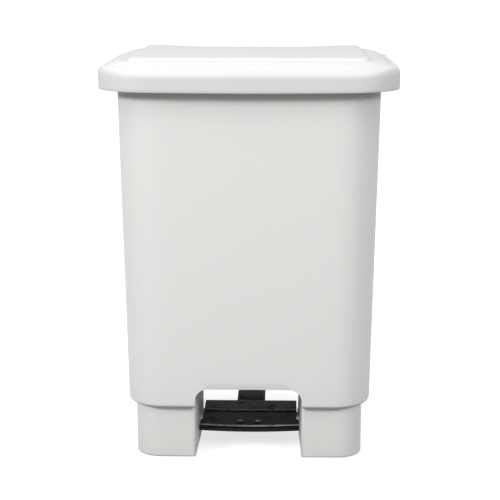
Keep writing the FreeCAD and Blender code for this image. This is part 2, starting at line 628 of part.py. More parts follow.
def guide_screw_seat(z):
    return Vector(0, CHANNEL_Y + GUIDE_TAB_THICK, z + GUIDE_HEIGHT / 2 + GUIDE_TAB_HEIGHT / 2)


def guide_screws():
    made = [screw(GUIDE_SCREW_LENGTH, guide_screw_seat(z), Y_AXIS * -1) for z in guide_places()]
    return Part.makeCompound(made)


def lid_block(inset):
    """The lid's outside, or its inside when inset is the wall: skirt, sloped step and plateau."""
    half_x = LID_WIDTH / 2 - inset
    half_y = LID_DEPTH / 2 - inset
    deck = DECK_Z - inset
    low = SKIRT_BOTTOM_Z - OVERCUT if inset else SKIRT_BOTTOM_Z
    base = rounded_prism(half_x, half_y, LID_RADIUS - inset, low, deck)
    edges = [e for e in base.Edges if abs(e.BoundBox.ZMin - deck) < NEAR_ENOUGH]
    base = base.makeFillet(DECK_EDGE_RADIUS - inset, edges)
    step_x = LID_WIDTH / 2 - STEP_SIDE_INSET - inset
    step_y = LID_DEPTH / 2 - STEP_FRONT_INSET - inset
    foot_radius = STEP_RADIUS + STEP_FLARE_RADIUS - inset
    foot = (step_x + STEP_SLOPE_SIDE, step_y + STEP_SLOPE_FRONT, foot_radius, deck - EMBED)
    head = (step_x, step_y, STEP_RADIUS - inset, STEP_Z - inset)
    step = rounded_loft(foot, head)
    front = -LID_DEPTH / 2 + PLATEAU_FRONT_INSET + inset
    back = LID_DEPTH / 2 - PLATEAU_BACK_INSET - inset
    plateau_x = LID_WIDTH / 2 - PLATEAU_SIDE_INSET - inset
    half_plateau = (back - front) / 2
    mid = (back + front) / 2
    wide = (plateau_x + PLATEAU_FLARE_SIDE, half_plateau + PLATEAU_FLARE_FRONT,
            PLATEAU_RADIUS + EMBED - inset, STEP_Z - inset - 2 * EMBED, mid)
    top = (plateau_x, half_plateau, PLATEAU_RADIUS - inset, TOTAL_HEIGHT - inset, mid)
    return base.multiFuse([step, rounded_loft(wide, top)])


def lid():
    shell = lid_block(0).cut(lid_block(LID_WALL))
    back = box(-BACK_SKIRT_HALF_WIDTH, BACK_SKIRT_HALF_WIDTH, LID_DEPTH / 2 - BACK_SKIRT_CUT_DEPTH, FAR,
               0, SKIRT_BOTTOM_Z + BACK_SKIRT_RAISE)
    shell = shell.cut(back)
    outside = lid_block(0)
    added = [box(-CRANK_PAD_HALF, CRANK_PAD_HALF, HINGE_Y - CRANK_PAD_FRONT, HINGE_Y + CRANK_PAD_BACK,
                 DECK_UNDER_Z, FAR)]
    for side in (-1, 1):
        x0 = side * HINGE_X - HINGE_LUG_WIDTH / 2
        x1 = x0 + HINGE_LUG_WIDTH
        added.append(box(x0, x1, HINGE_Y - HINGE_LUG_RADIUS, HINGE_Y + HINGE_LUG_RADIUS, HINGE_Z, FAR))
        added.append(cylinder_x(HINGE_LUG_RADIUS, x0, x1, HINGE_Y, HINGE_Z))
    added = [a.common(outside) if a.BoundBox.ZMax > TOTAL_HEIGHT else a for a in added]
    hole_top = DECK_UNDER_Z + CRANK_SCREW_LENGTH - CRANK_FLANGE + HOLE_PAST_TIP
    cuts = [cylinder_z(SCREW_RADIUS + FIT_GAP, x, y, 0, hole_top) for x, y in crank_screw_places()]
    for side in (-1, 1):
        x0 = side * HINGE_X - HINGE_LUG_WIDTH
        x1 = side * HINGE_X + HINGE_LUG_WIDTH
        cuts.append(cylinder_x(HINGE_PIN_RADIUS + RUNNING_GAP, x0, x1, HINGE_Y, HINGE_Z))
    for x, y in buffer_places():
        cuts.append(cylinder_z(BUFFER_RADIUS, x, y, 0, buffer_top()))
    posts = []
    for x, y in buffer_places():
        post = cylinder_z(BUFFER_RADIUS + BUFFER_POST_WALL, x, y, buffer_top() - BUFFER_PIN, FAR)
        posts.append(post.common(outside))
    return shell.multiFuse(added + posts).cut(cuts).removeSplitter()


def buffer_top():
    return RIM_Z + BUFFER_GAP + BUFFER_THICK


def buffer_places():
    """Over the rim, two at the front and two at the sides."""
    x = TUB_TOP_WIDTH / 2
    y = TUB_TOP_DEPTH / 2
    return [(-x / 2, -y), (x / 2, -y), (-x, y / 4), (x, y / 4)]


def lid_buffers():
    made = []
    for x, y in buffer_places():
        pad = cylinder_z(BUFFER_RADIUS, x, y, RIM_Z + BUFFER_GAP, buffer_top())
        rim = [e for e in pad.Edges if e.Closed and e.CenterOfMass.z < RIM_Z + BUFFER_GAP + NEAR_ENOUGH]
        made.append(pad.makeFillet(BUFFER_EDGE_RADIUS, rim))
    return Part.makeCompound(made)


def crank_screw_places():
    return [(-CRANK_SCREW_X, HINGE_Y - CRANK_SCREW_FRONT), (CRANK_SCREW_X, HINGE_Y - CRANK_SCREW_FRONT)]


def lid_crank():
    """A plate under the lid with a slotted arm that the push rod's top end lifts."""
    top = DECK_UNDER_Z
    plate = box(-CRANK_FLANGE_HALF, CRANK_FLANGE_HALF, HINGE_Y - CRANK_FLANGE_FRONT,
                HINGE_Y + CRANK_FLANGE_BACK, top - CRANK_FLANGE, top)
    edges = [e for e in plate.Edges if abs(e.Length - CRANK_FLANGE) < NEAR_ENOUGH]
    plate = plate.makeFillet(CRANK_FLANGE_RADIUS, edges)
    drop = Vector(0, -math.cos(HALF_SWING), -math.sin(HALF_SWING))
    tip_r = CRANK_SLOT_HALF + CRANK_RIM
    axis = Vector(0, HINGE_Y, HINGE_Z)
    inner = axis + drop * SLOT_INNER
    outer = axis + drop * SLOT_OUTER
    pad = slot_x(tip_r, 0, CRANK_THICK, (inner.y, inner.z), (outer.y, outer.z))
    neck_y = HINGE_Y + CRANK_NECK_BACK
    neck = [(HINGE_Y - CRANK_NECK_FRONT, top - EMBED), (neck_y, top - EMBED), (neck_y, HINGE_Z - 2 * EMBED),
            (inner.y, inner.z - tip_r + EMBED), (inner.y - tip_r + EMBED, inner.z)]
    arm = prism(neck, "X", 0, CRANK_THICK).fuse(pad)
    cuts = [slot_x(CRANK_SLOT_HALF, -EMBED, CRANK_THICK + EMBED, (inner.y, inner.z), (outer.y, outer.z))]
    for x, y in crank_screw_places():
        cuts.append(cylinder_z(SCREW_RADIUS + FIT_GAP, x, y, top - OVERCUT, top + OVERCUT))
    return plate.fuse(arm).cut(cuts).removeSplitter()


def crank_screws():
    seat = DECK_UNDER_Z - CRANK_FLANGE
    made = [screw(CRANK_SCREW_LENGTH, Vector(x, y, seat), Z_AXIS) for x, y in crank_screw_places()]
    return Part.makeCompound(made)


def hinge_pin(side):
    reach = HINGE_LUG_WIDTH / 2 + HINGE_SIDE_GAP + HINGE_EAR_WIDTH
    x0 = side * HINGE_X - reach - HINGE_PIN_OVERHANG
    x1 = side * HINGE_X + reach + HINGE_PIN_OVERHANG
    pin = cylinder_x(HINGE_PIN_RADIUS, x0, x1, HINGE_Y, HINGE_Z)
    near = side * (HINGE_X + reach)
    head = cylinder_x(HINGE_PIN_HEAD_RADIUS, *sorted((near, near + side * HINGE_PIN_HEAD)), HINGE_Y, HINGE_Z)
    return pin.fuse(head).removeSplitter()


def inner_bucket():
    floor = TUNNEL_TOP_Z + WALL + BUCKET_FLOOR_GAP
    top = RIM_Z - BUCKET_BELOW_RIM
    gap = WALL + BUCKET_GAP
    low = tub_section(floor, gap)
    high = tub_section(top, gap)
    outside = rounded_loft(low, high)
    rim = rounded_prism(high[0] + BUCKET_RIM, high[1] + BUCKET_RIM, high[2] + BUCKET_RIM,
                        top - BUCKET_RIM_THICK, top)
    outside = outside.fuse(rim)
    inside = rounded_loft(tub_section(floor + BUCKET_WALL, gap + BUCKET_WALL),
                          tub_section(top + OVERCUT, gap + BUCKET_WALL))
    play = WALL + BUCKET_GROOVE_PLAY
    outside = outside.cut(channel_block(play, 0, FAR))
    inside = inside.cut(channel_block(play + BUCKET_WALL, 0, FAR))
    grip_top = top - GRIP_BELOW_RIM
    grip = box(-FAR, FAR, -GRIP_LENGTH / 2, GRIP_LENGTH / 2, grip_top - GRIP_HEIGHT, grip_top)
    edges = [e for e in grip.Edges if e.Length > FAR]
    grip = grip.makeFillet(GRIP_RADIUS, edges)
    return outside.cut(inside).cut(grip).removeSplitter()


def main():
    os.makedirs("parts", exist_ok=True)
    left, right = legs()
    upper, lower = guide_places()
    nodes = {
        "body_shell": body_shell(),
        "leg_left": left,
        "leg_right": right,
        "leg_screws": leg_screws(),
        "foot_pads": foot_pads(),
        "inner_bucket": inner_bucket(),
        "axle_bushes": axle_bushes(),
        "rod_guide_upper": rod_guide(upper),
        "rod_guide_lower": rod_guide(lower),
        "guide_screws": guide_screws(),
        "hinge_pin_left": hinge_pin(-1),
        "hinge_pin_right": hinge_pin(1),
        "lid": lid(),
        "lid_crank": lid_crank(),
        "crank_screws": crank_screws(),
        "lid_buffers": lid_buffers(),
        "push_rod": push_rod(),
        "rod_caps": rod_caps(),
        "pedal_tread": pedal_tread(),
        "pedal_lever": pedal_lever(),
        "lever_rivets": lever_rivets(),
        "pedal_axle": pedal_axle(),
        "axle_clips": axle_clips(),
    }
    for node, shape in nodes.items():
        save(node, shape)
        print(node, len(shape.Solids), shape.isValid(), round(shape.Volume))
    print("rod travel", round(ROD_TRAVEL, 3), "pedal swing", round(math.degrees(PEDAL_SWING), 3))


main()
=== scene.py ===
"""Pedal trash can: the visible model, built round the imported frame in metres."""
import json
import logging
import math
from dataclasses import dataclass, field
from enum import Enum
from typing import Any, Callable, Iterable, Sequence

import bmesh
import bpy
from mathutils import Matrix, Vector


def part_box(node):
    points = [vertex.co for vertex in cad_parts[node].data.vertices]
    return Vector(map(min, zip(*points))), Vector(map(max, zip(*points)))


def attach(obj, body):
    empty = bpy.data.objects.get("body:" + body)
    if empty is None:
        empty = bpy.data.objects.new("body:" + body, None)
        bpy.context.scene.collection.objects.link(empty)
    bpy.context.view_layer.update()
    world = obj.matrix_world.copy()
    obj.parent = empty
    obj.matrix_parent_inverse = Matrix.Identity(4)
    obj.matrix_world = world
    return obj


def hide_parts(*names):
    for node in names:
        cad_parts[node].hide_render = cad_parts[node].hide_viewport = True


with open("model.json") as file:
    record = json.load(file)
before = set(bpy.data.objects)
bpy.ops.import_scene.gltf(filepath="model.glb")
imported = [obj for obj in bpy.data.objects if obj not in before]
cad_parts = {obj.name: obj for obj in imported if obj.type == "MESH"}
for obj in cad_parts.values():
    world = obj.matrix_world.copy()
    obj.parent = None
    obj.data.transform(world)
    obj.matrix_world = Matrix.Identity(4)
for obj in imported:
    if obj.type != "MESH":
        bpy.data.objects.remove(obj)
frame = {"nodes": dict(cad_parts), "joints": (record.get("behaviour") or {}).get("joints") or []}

LOG = logging.getLogger("pedal_bin")
Color = tuple[float, float, float]
Point = tuple[float, float, float]
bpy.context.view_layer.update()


# ---------------------------------------------------------------- shader and node maths


class Sock:
    """A node socket, or a plain number, that takes part in Python arithmetic."""

    def __init__(self, tree: "Tree", value: Any) -> None:
        """Keep the tree and the socket or number.

        Args:
            tree: The tree that new Math nodes go in.
            value: An output socket or a number.
        """
        self.tree = tree
        self.value = value

    def _math(self, operation: str, *others: Any) -> "Sock":
        """Add one Math node.

        Args:
            operation: The Math node's operation.
            others: The node's further operands.

        Returns:
            The node's output.
        """
        inputs = dict(enumerate((self, *others)))
        return self.tree.node("ShaderNodeMath", {"operation": operation}, inputs)

    def __add__(self, other: Any) -> "Sock":
        """Sum."""
        return self._math("ADD", other)

    def __radd__(self, other: Any) -> "Sock":
        """Reflected sum."""
        return self._math("ADD", other)

    def __sub__(self, other: Any) -> "Sock":
        """Difference."""
        return self._math("SUBTRACT", other)

    def __rsub__(self, other: Any) -> "Sock":
        """Reflected difference."""
        return Sock(self.tree, other)._math("SUBTRACT", self)

    def __mul__(self, other: Any) -> "Sock":
        """Product."""
        return self._math("MULTIPLY", other)

    def __rmul__(self, other: Any) -> "Sock":
        """Reflected product."""
        return self._math("MULTIPLY", other)

    def __truediv__(self, other: Any) -> "Sock":
        """Quotient."""
        return self._math("DIVIDE", other)

    def __rtruediv__(self, other: Any) -> "Sock":
        """Reflected quotient."""
        return Sock(self.tree, other)._math("DIVIDE", self)

    def __pow__(self, other: Any) -> "Sock":
        """Power."""
        return self._math("POWER", other)

    def clamp(self, low: float = 0.0, high: float = 1.0) -> "Sock":
        """Limit the value to a range."""
        return self._math("MAXIMUM", low)._math("MINIMUM", high)


class Tree:
    """A node tree with one method that adds any node."""

    def __init__(self, tree: bpy.types.NodeTree) -> None:
        """Wrap a Blender node tree."""
        self.tree = tree

    def node(self, kind: str, settings: dict[str, Any] | None = None,
             inputs: dict[int | str, Any] | None = None, output: int | str = 0) -> Sock:
        """Add a node, set it, then feed its sockets.

        Args:
            kind: The node's type name.
            settings: Properties by name; `stops` fills a colour ramp.
            inputs: Values, sockets or Sock objects by socket index or name.
            output: Index or name of the output that is returned.

        Returns:
            The chosen output, ready for arithmetic.
        """
        made = self.tree.nodes.new(kind)
        for key, value in (settings or {}).items():
            if key == "stops":
                self._fill_ramp(made.color_ramp, value)
            else:
                setattr(made, key, value)
        for key, value in (inputs or {}).items():
            held = value.value if isinstance(value, Sock) else value
            if isinstance(held, bpy.types.NodeSocket):
                self.tree.links.new(held, made.inputs[key])
            else:
                made.inputs[key].default_value = held
        return Sock(self, made.outputs[output]) if len(made.outputs) else Sock(self, 0.0)

    @staticmethod
    def _fill_ramp(ramp: bpy.types.ColorRamp, stops: Sequence[tuple[float, float]]) -> None:
        """Give a ramp grey stops.

        Args:
            ramp: The ramp to fill.
            stops: Pairs of place and grey level.
        """
        while len(ramp.elements) < len(stops):
            ramp.elements.new(0.5)
        for element, (place, level) in zip(ramp.elements, stops):
            element.position = place
            element.color = (level, level, level, 1.0)


class ShaderTree(Tree):
    """A material's tree, with the patterns that the finishes share."""

    def __init__(self, name: str) -> None:
        """Start an empty material.

        Args:
            name: The material's name.
        """
        self.material = bpy.data.materials.new(name)
        self.material.use_nodes = True
        super().__init__(self.material.node_tree)
        self.tree.nodes.clear()
        self.coords = self.node("ShaderNodeTexCoord", output="Object")

    def stretched(self, scale: Point) -> Sock:
        """Object coordinates multiplied along each axis."""
        return self.node("ShaderNodeVectorMath", {"operation": "MULTIPLY"}, {0: self.coords, 1: scale})

    def noise(self, scale: float, detail: float = 2.0, where: Sock | None = None) -> Sock:
        """Fractal noise from 0 to 1.

        Args:
            scale: Features per metre.
            detail: Octaves.
            where: Coordinates, or None for the object's own.

        Returns:
            The noise value.
        """
        inputs = {"Vector": where or self.coords, "Scale": scale, "Detail": detail}
        return self.node("ShaderNodeTexNoise", {}, inputs)

    def ramp(self, value: Sock, stops: Sequence[tuple[float, float]]) -> Sock:
        """Remap a value through grey stops."""
        return self.node("ShaderNodeValToRGB", {"stops": stops}, {"Fac": value})

    def height(self) -> Sock:
        """Height above the floor, in metres."""
        return self.node("ShaderNodeSeparateXYZ", {}, {0: self.coords}, output="Z")

    def mix(self, factor: Sock | float, first: Color | Sock, second: Color | Sock) -> Sock:
        """Blend two colours.

        Args:
            factor: Share of the second colour.
            first: Colour at 0.
            second: Colour at 1.

        Returns:
            The blended colour.
        """
        pair = [(*c, 1.0) if isinstance(c, tuple) else c for c in (first, second)]
        inputs = {"Factor": factor, 6: pair[0], 7: pair[1]}
        return self.node("ShaderNodeMix", {"data_type": "RGBA"}, inputs, output=2)

    def finish(self, constants: dict[str, Any], color: Sock, roughness: Sock,
               bump: Sock, bump_depth: float) -> bpy.types.Material:
        """Wire the shader and the output.

        Args:
            constants: Values set on the shader's own sockets.
            color: Base colour.
            roughness: Roughness.
            bump: Height, about 0 to 1.
            bump_depth: Metres that a height of 1 stands for.

        Returns:
            The finished material.
        """
        normal = self.node("ShaderNodeBump", {}, {"Height": bump, "Distance": bump_depth, "Strength": 1.0})
        inputs = dict(constants)
        inputs.update({"Base Color": color, "Roughness": roughness, "Normal": normal})
        shader = self.node("ShaderNodeBsdfPrincipled", {}, inputs)
        self.node("ShaderNodeOutputMaterial", {}, {"Surface": shader})
        return self.material


# ---------------------------------------------------------------- finishes


@dataclass(frozen=True)
class MouldedPlastic:
    """Injection-moulded polypropylene or a similar plastic.

    Attributes:
        name: Material name.
        color: Linear base colour.
        roughness: Mean roughness.
        mottle: Depth of the slow colour drift.
        grain_scale: Mould-texture features per metre.
        grain_depth: Height of the mould texture.
        scuff: Strength of fine wipe marks.
        painted_floor_shade: Strength of the painted shade, darker in patches close to the floor.
        specular: Specular level.
        rubbed_highlight: Strength of the pale patches on high spots, partly rubbing and partly painted
            highlight.
        rubbed_highlight_above: Height above which the surface gets the rubbing and the painted highlight.
    """

    name: str
    color: Color
    roughness: float = 0.42
    mottle: float = 0.02
    grain_scale: float = 1500.0
    grain_depth: float = 0.00003
    scuff: float = 0.08
    painted_floor_shade: float = 0.0
    specular: float = 0.5
    rubbed_highlight: float = 0.0
    rubbed_highlight_above: float = 0.0

    def material(self) -> bpy.types.Material:
        """Build the material."""
        tree = ShaderTree(self.name)
        drift = tree.noise(7.0, 3.0) - 0.5
        wipes = tree.noise(60.0, 4.0, tree.stretched((1.0, 1.0, 0.12)))
        marks = tree.ramp(wipes, ((0.56, 0.0), (0.74, 1.0)))
        grain = tree.noise(self.grain_scale, 3.0)
        sink = tree.noise(22.0, 1.0)
        # Painted shade: patches darken the colour within 35 mm of the floor, where the floor's shade falls.
        low = (1.0 - tree.height() / 0.035).clamp() * tree.noise(95.0, 4.0)
        shade = (0.5 + drift * (self.mottle * 6) + low * self.painted_floor_shade - marks * (self.scuff * 0.3)).clamp()
        dark = tuple(c * (1.0 - self.mottle * 4) for c in self.color)
        light = tuple(min(1.0, c * (1.0 + self.mottle)) for c in self.color)
        color = tree.mix(shade, light, dark)
        # Partly wear, partly painted highlight: raised tops above a height are lightened in patches towards
        # pale grey. This stands for rubbing and for the light that the rib edges catch.
        if self.rubbed_highlight:
            high = ((tree.height() - self.rubbed_highlight_above) * 8000.0).clamp()
            patchy = tree.ramp(tree.noise(130.0, 4.0), ((0.3, 0.35), (0.65, 1.0)))
            color = tree.mix(high * patchy * self.rubbed_highlight, color, (0.30, 0.30, 0.30))
        rough = (marks * self.scuff + drift * 0.06 + (grain - 0.5) * 0.05 + self.roughness).clamp(0.05, 1.0)
        bump = grain * 0.5 + sink * 3.0
        constants = {"Specular IOR Level": self.specular}
        return tree.finish(constants, color, rough, bump, self.grain_depth)


@dataclass(frozen=True)
class PlatedSteel:
    """Zinc-plated steel with fine drawing lines along its length.

    Attributes:
        name: Material name.
        color: Linear base colour.
        roughness: Mean roughness.
        lines: Scale of the lines along X, Y and Z, in features per metre.
    """

    name: str
    color: Color = (0.58, 0.59, 0.61)
    roughness: float = 0.3
    lines: Point = (1.0, 1.0, 0.05)

    def material(self) -> bpy.types.Material:
        """Build the material."""
        tree = ShaderTree(self.name)
        streaks = tree.noise(900.0, 2.0, tree.stretched(self.lines))
        clouds = tree.noise(70.0, 3.0)
        spangle = tree.ramp(clouds, ((0.35, 0.0), (0.7, 1.0)))
        dark = tuple(c * 0.72 for c in self.color)
        color = tree.mix(spangle * 0.5 + streaks * 0.3, self.color, dark)
        rough = (streaks * 0.18 + clouds * 0.12 + self.roughness - 0.15).clamp(0.08, 1.0)
        return tree.finish({"Metallic": 1.0}, color, rough, streaks + clouds * 0.5, 0.00002)


@dataclass(frozen=True)
class BlackPaint:
    """Satin black paint on pressed steel, rubbed where it is touched.

    Attributes:
        name: Material name.
        color: Linear paint colour.
        roughness: Mean roughness.
    """

    name: str
    color: Color = (0.004, 0.004, 0.003)
    roughness: float = 0.55

    def material(self) -> bpy.types.Material:
        """Build the material."""
        tree = ShaderTree(self.name)
        peel = tree.noise(420.0, 2.0)
        dust = tree.ramp(tree.noise(45.0, 5.0), ((0.45, 0.0), (0.8, 1.0)))
        rubs = tree.ramp(tree.noise(160.0, 5.0, tree.stretched((0.3, 1.0, 1.0))), ((0.66, 0.0), (0.72, 1.0)))
        color = tree.mix(dust * 0.1, self.color, (0.06, 0.058, 0.05))
        color = tree.mix(rubs * 0.08, color, (0.16, 0.16, 0.16))
        rough = (dust * 0.25 - rubs * 0.12 + peel * 0.1 + self.roughness - 0.05).clamp(0.1, 1.0)
        return tree.finish({"Specular IOR Level": 0.18}, color, rough, peel - rubs * 0.6, 0.00005)


@dataclass(frozen=True)
class Rubber:
    """Matt black rubber with a dusty bloom.

    Attributes:
        name: Material name.
        color: Linear base colour.
    """

    name: str
    color: Color = (0.02, 0.02, 0.02)

    def material(self) -> bpy.types.Material:
        """Build the material."""
        tree = ShaderTree(self.name)
        bloom = tree.noise(240.0, 5.0)
        pits = tree.noise(2600.0, 2.0)
        color = tree.mix(tree.ramp(bloom, ((0.4, 0.0), (0.75, 1.0))) * 0.6, self.color, (0.075, 0.073, 0.07))
        rough = (bloom * 0.2 + 0.68).clamp()
        return tree.finish({"Specular IOR Level": 0.35}, color, rough, pits + bloom, 0.00006)


class Finish(Enum):
    """Every finish on the object."""

    TUB = MouldedPlastic("tub_surface", (0.835, 0.835, 0.815), 0.55)
    # The legs carry painted shade close to the floor.
    LEG = MouldedPlastic("leg_surface", (0.79, 0.79, 0.77), 0.55, painted_floor_shade=0.5)
    LID = MouldedPlastic("lid_surface", (0.75, 0.75, 0.745), 0.5, grain_depth=0.00002, specular=0.2)
    BUCKET = MouldedPlastic("bucket_surface", (0.19, 0.195, 0.2), 0.5, mottle=0.04)
    # The pedal's ribs carry rubbing and a painted highlight on their raised tops.
    PEDAL = MouldedPlastic("pedal_surface", (0.003, 0.003, 0.003), 0.48, mottle=0.08,
                           grain_scale=2200.0, grain_depth=0.00006, scuff=0.2, specular=0.22,
                           rubbed_highlight=1.0, rubbed_highlight_above=0.02608)
    GUIDE = MouldedPlastic("guide_surface", (0.02, 0.02, 0.02), 0.45, mottle=0.08, grain_depth=0.00004)
    ACETAL = MouldedPlastic("bush_surface", (0.72, 0.7, 0.62), 0.35)
    LEVER = BlackPaint("lever_surface")
    ROD = PlatedSteel("rod_surface")
    PIN = PlatedSteel("pin_surface", lines=(0.05, 1.0, 1.0))
    SCREW = PlatedSteel("screw_surface", (0.5, 0.51, 0.53), 0.34, (1.0, 1.0, 1.0))
    RUBBER = Rubber("rubber_surface")

    def material(self) -> bpy.types.Material:
        """The finish's material, made at its first use under a name that the frame doesn't hold."""
        return bpy.data.materials.get(self.value.name) or self.value.material()


# ---------------------------------------------------------------- mesh helpers


def smoothstep(low: float, high: float, value: float) -> float:
    """Rise smoothly from 0 at `low` to 1 at `high`."""
    share = min(1.0, max(0.0, (value - low) / (high - low)))
    return share * share * (3.0 - 2.0 * share)


@dataclass(frozen=True)
class Section:
    """A level, round-cornered rectangle.

    Attributes:
        half_x: Half width.
        half_y: Half depth.
        radius: Corner radius.
        z: Height.
        mid_y: Middle of the depth.
    """

    half_x: float
    half_y: float
    radius: float
    z: float
    mid_y: float = 0.0

    def inset(self, by: float, z: float | None = None) -> "Section":
        """The same section moved in by a distance, at another height if one is given."""
        radius = max(self.radius - by, 0.0005)
        height = self.z if z is None else z
        return Section(self.half_x - by, self.half_y - by, radius, height, self.mid_y)

    def points(self, corner: int = 14, side: int = 10) -> list[Vector]:
        """Points round the outline.

        Args:
            corner: Steps in each round corner.
            side: Steps along each straight side.

        Returns:
            Points anticlockwise from the right-hand side's end.
        """
        cx, cy = self.half_x - self.radius, self.half_y - self.radius
        centres = ((cx, cy), (-cx, cy), (-cx, -cy), (cx, -cy))
        found: list[Vector] = []
        for turn, (x, y) in enumerate(centres):
            for step in range(corner + 1):
                angle = math.pi / 2 * (turn + step / corner)
                along = Vector((math.cos(angle), math.sin(angle), 0.0)) * self.radius
                found.append(Vector((x, y + self.mid_y, self.z)) + along)
            nx, ny = centres[(turn + 1) % 4]
            end = math.pi / 2 * (turn + 1)
            tip = Vector((math.cos(end), math.sin(end), 0.0)) * self.radius
            start, stop = Vector((x, y, 0.0)) + tip, Vector((nx, ny, 0.0)) + tip
            for step in range(1, side):
                spot = start.lerp(stop, step / side)
                found.append(Vector((spot.x, spot.y + self.mid_y, self.z)))
        return found


def new_object(name: str, mesh: bpy.types.Mesh) -> bpy.types.Object:
    """Link a mesh into the scene as an object at the origin."""
    made = bpy.data.objects.new(name, mesh)
    bpy.context.scene.collection.objects.link(made)
    return made


def from_faces(name: str, points: Sequence[Vector], faces: Sequence[Sequence[int]]) -> bpy.types.Object:
    """Make an object from points and faces, with its faces turned outwards.

    Args:
        name: Object name.
        points: Vertex places.
        faces: Vertex numbers of each face.

    Returns:
        The new object.
    """
    mesh = bpy.data.meshes.new(name)
    mesh.from_pydata([tuple(p) for p in points], [], [tuple(f) for f in faces])
    made = new_object(name, mesh)
    edit(made, lambda bm: bmesh.ops.recalc_face_normals(bm, faces=bm.faces))
    return made


def edit(target: bpy.types.Object, change: Callable[[bmesh.types.BMesh], Any]) -> None:
    """Run a bmesh change on an object's mesh."""
    bm = bmesh.new()
    bm.from_mesh(target.data)
    change(bm)
    bm.to_mesh(target.data)
    bm.free()
    target.data.update()


def loft(name: str, rings: Sequence[Sequence[Vector]], caps: bool = True) -> bpy.types.Object:
    """Skin a run of rings that have the same number of points.

    Args:
        name: Object name.
        rings: Rings from the first cap to the last.
        caps: Close both ends, or else join the last ring to the first.

    Returns:
        The closed object.
    """
    count = len(rings[0])
    points = [p for ring in rings for p in ring]
    faces: list[list[int]] = []
    spans = len(rings) - 1 if caps else len(rings)
    for row in range(spans):
        low, high = row * count, (row + 1) % len(rings) * count
        for i in range(count):
            j = (i + 1) % count
            faces.append([low + i, low + j, high + j, high + i])
    if caps:
        faces.append(list(range(count))[::-1])
        faces.append([(len(rings) - 1) * count + i for i in range(count)])
    return from_faces(name, points, faces)


def extrude_outline(name: str, outline: Sequence[tuple[float, float]], axis: str,
                    start: float, end: float) -> bpy.types.Object:
    """Extrude a closed outline.

    Args:
        name: Object name.
        outline: Pairs in the two axes other than `axis`, in X, Y, Z order.
        axis: X, Y or Z.
        start: First end along the axis.
        end: Last end along the axis.

    Returns:
        The closed object.
    """
    place = {"X": lambda a, b, c: Vector((c, a, b)), "Y": lambda a, b, c: Vector((a, c, b)),
             "Z": lambda a, b, c: Vector((a, b, c))}[axis]
    return loft(name, [[place(a, b, c) for a, b in outline] for c in (start, end)])


def arc(x: float, y: float, radius: float, start: float, end: float,
        steps: int) -> list[tuple[float, float]]:
    """Points on an arc, angles in degrees."""
    angles = [math.radians(start + (end - start) * i / steps) for i in range(steps + 1)]
    return [(x + radius * math.cos(a), y + radius * math.sin(a)) for a in angles]


def settle(target: bpy.types.Object) -> None:
    """Replace an object's mesh with its evaluated one and drop its modifiers."""
    bpy.context.view_layer.update()
    graph = bpy.context.evaluated_depsgraph_get()
    mesh = bpy.data.meshes.new_from_object(target.evaluated_get(graph))
    old = target.data
    target.modifiers.clear()
    target.data = mesh
    mesh.name = target.name
    bpy.data.meshes.remove(old)


def combine(target: bpy.types.Object, others: Iterable[bpy.types.Object], operation: str) -> None:
    """Apply exact Booleans one after another and delete the tools.

    Args:
        target: The object that is changed.
        others: Closed tool objects.
        operation: UNION, DIFFERENCE or INTERSECT.
    """
    for other in others:
        cut = target.modifiers.new("cut", "BOOLEAN")
        cut.operation = operation
        cut.solver = "EXACT"
        cut.object = other
        settle(target)
        mesh = other.data
        bpy.data.objects.remove(other)
        bpy.data.meshes.remove(mesh)


def soften(target: bpy.types.Object, width: float = 0.0, segments: int = 2,
           bevel_angle: float = 50.0, smooth_angle: float = 32.0) -> None:
    """Round the edges a little and shade smooth between sharp edges.

    Args:
        target: The object.
        width: Bevel width, or 0 for none.
        segments: Bevel steps.
        bevel_angle: Least edge angle that is bevelled, in degrees.
        smooth_angle: Least edge angle that stays sharp, in degrees.
    """
    edit(target, lambda bm: bmesh.ops.remove_doubles(bm, verts=bm.verts, dist=0.00001))
    if width > 0.0:
        bevel = target.modifiers.new("edges", "BEVEL")
        bevel.width = width
        bevel.segments = segments
        bevel.limit_method = "ANGLE"
        bevel.angle_limit = math.radians(bevel_angle)
        bevel.use_clamp_overlap = True
        settle(target)
    limit = math.radians(smooth_angle)

    def mark(bm: bmesh.types.BMesh) -> None:
        for face in bm.faces:
            face.smooth = True
        for edge in bm.edges:
            edge.smooth = len(edge.link_faces) == 2 and edge.calc_face_angle(0.0) < limit

    edit(target, mark)


def dress(target: bpy.types.Object, finish: Finish) -> None:
    """Give every face one finish."""
    target.data.materials.clear()
    target.data.materials.append(finish.material())


def cad_copy(name: str, node: str) -> bpy.types.Object:
    """A merged copy of a CAD node's mesh as a new object."""
    made = new_object(name, frame["nodes"][node].data.copy())

    def merge(bm: bmesh.types.BMesh) -> None:
        bmesh.ops.remove_doubles(bm, verts=bm.verts, dist=0.000005)
        bmesh.ops.dissolve_limit(bm, angle_limit=math.radians(0.5), verts=bm.verts, edges=bm.edges)

    edit(made, merge)
    return made


def place(piece: bpy.types.Object, body: str, slot: str, *nodes: str) -> None:
    """Make a piece ride on a body in place of CAD nodes, and log it.

    Args:
        piece: The finished object.
        body: CAD body that it moves with.
        slot: The record's material slot; not used.
        nodes: CAD nodes that it stands for.
    """
    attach(piece, body)
    if nodes:
        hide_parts(*nodes)
    LOG.info("%s: %d faces on %s", piece.name, len(piece.data.polygons), body)


# ---------------------------------------------------------------- geometry-node patterns


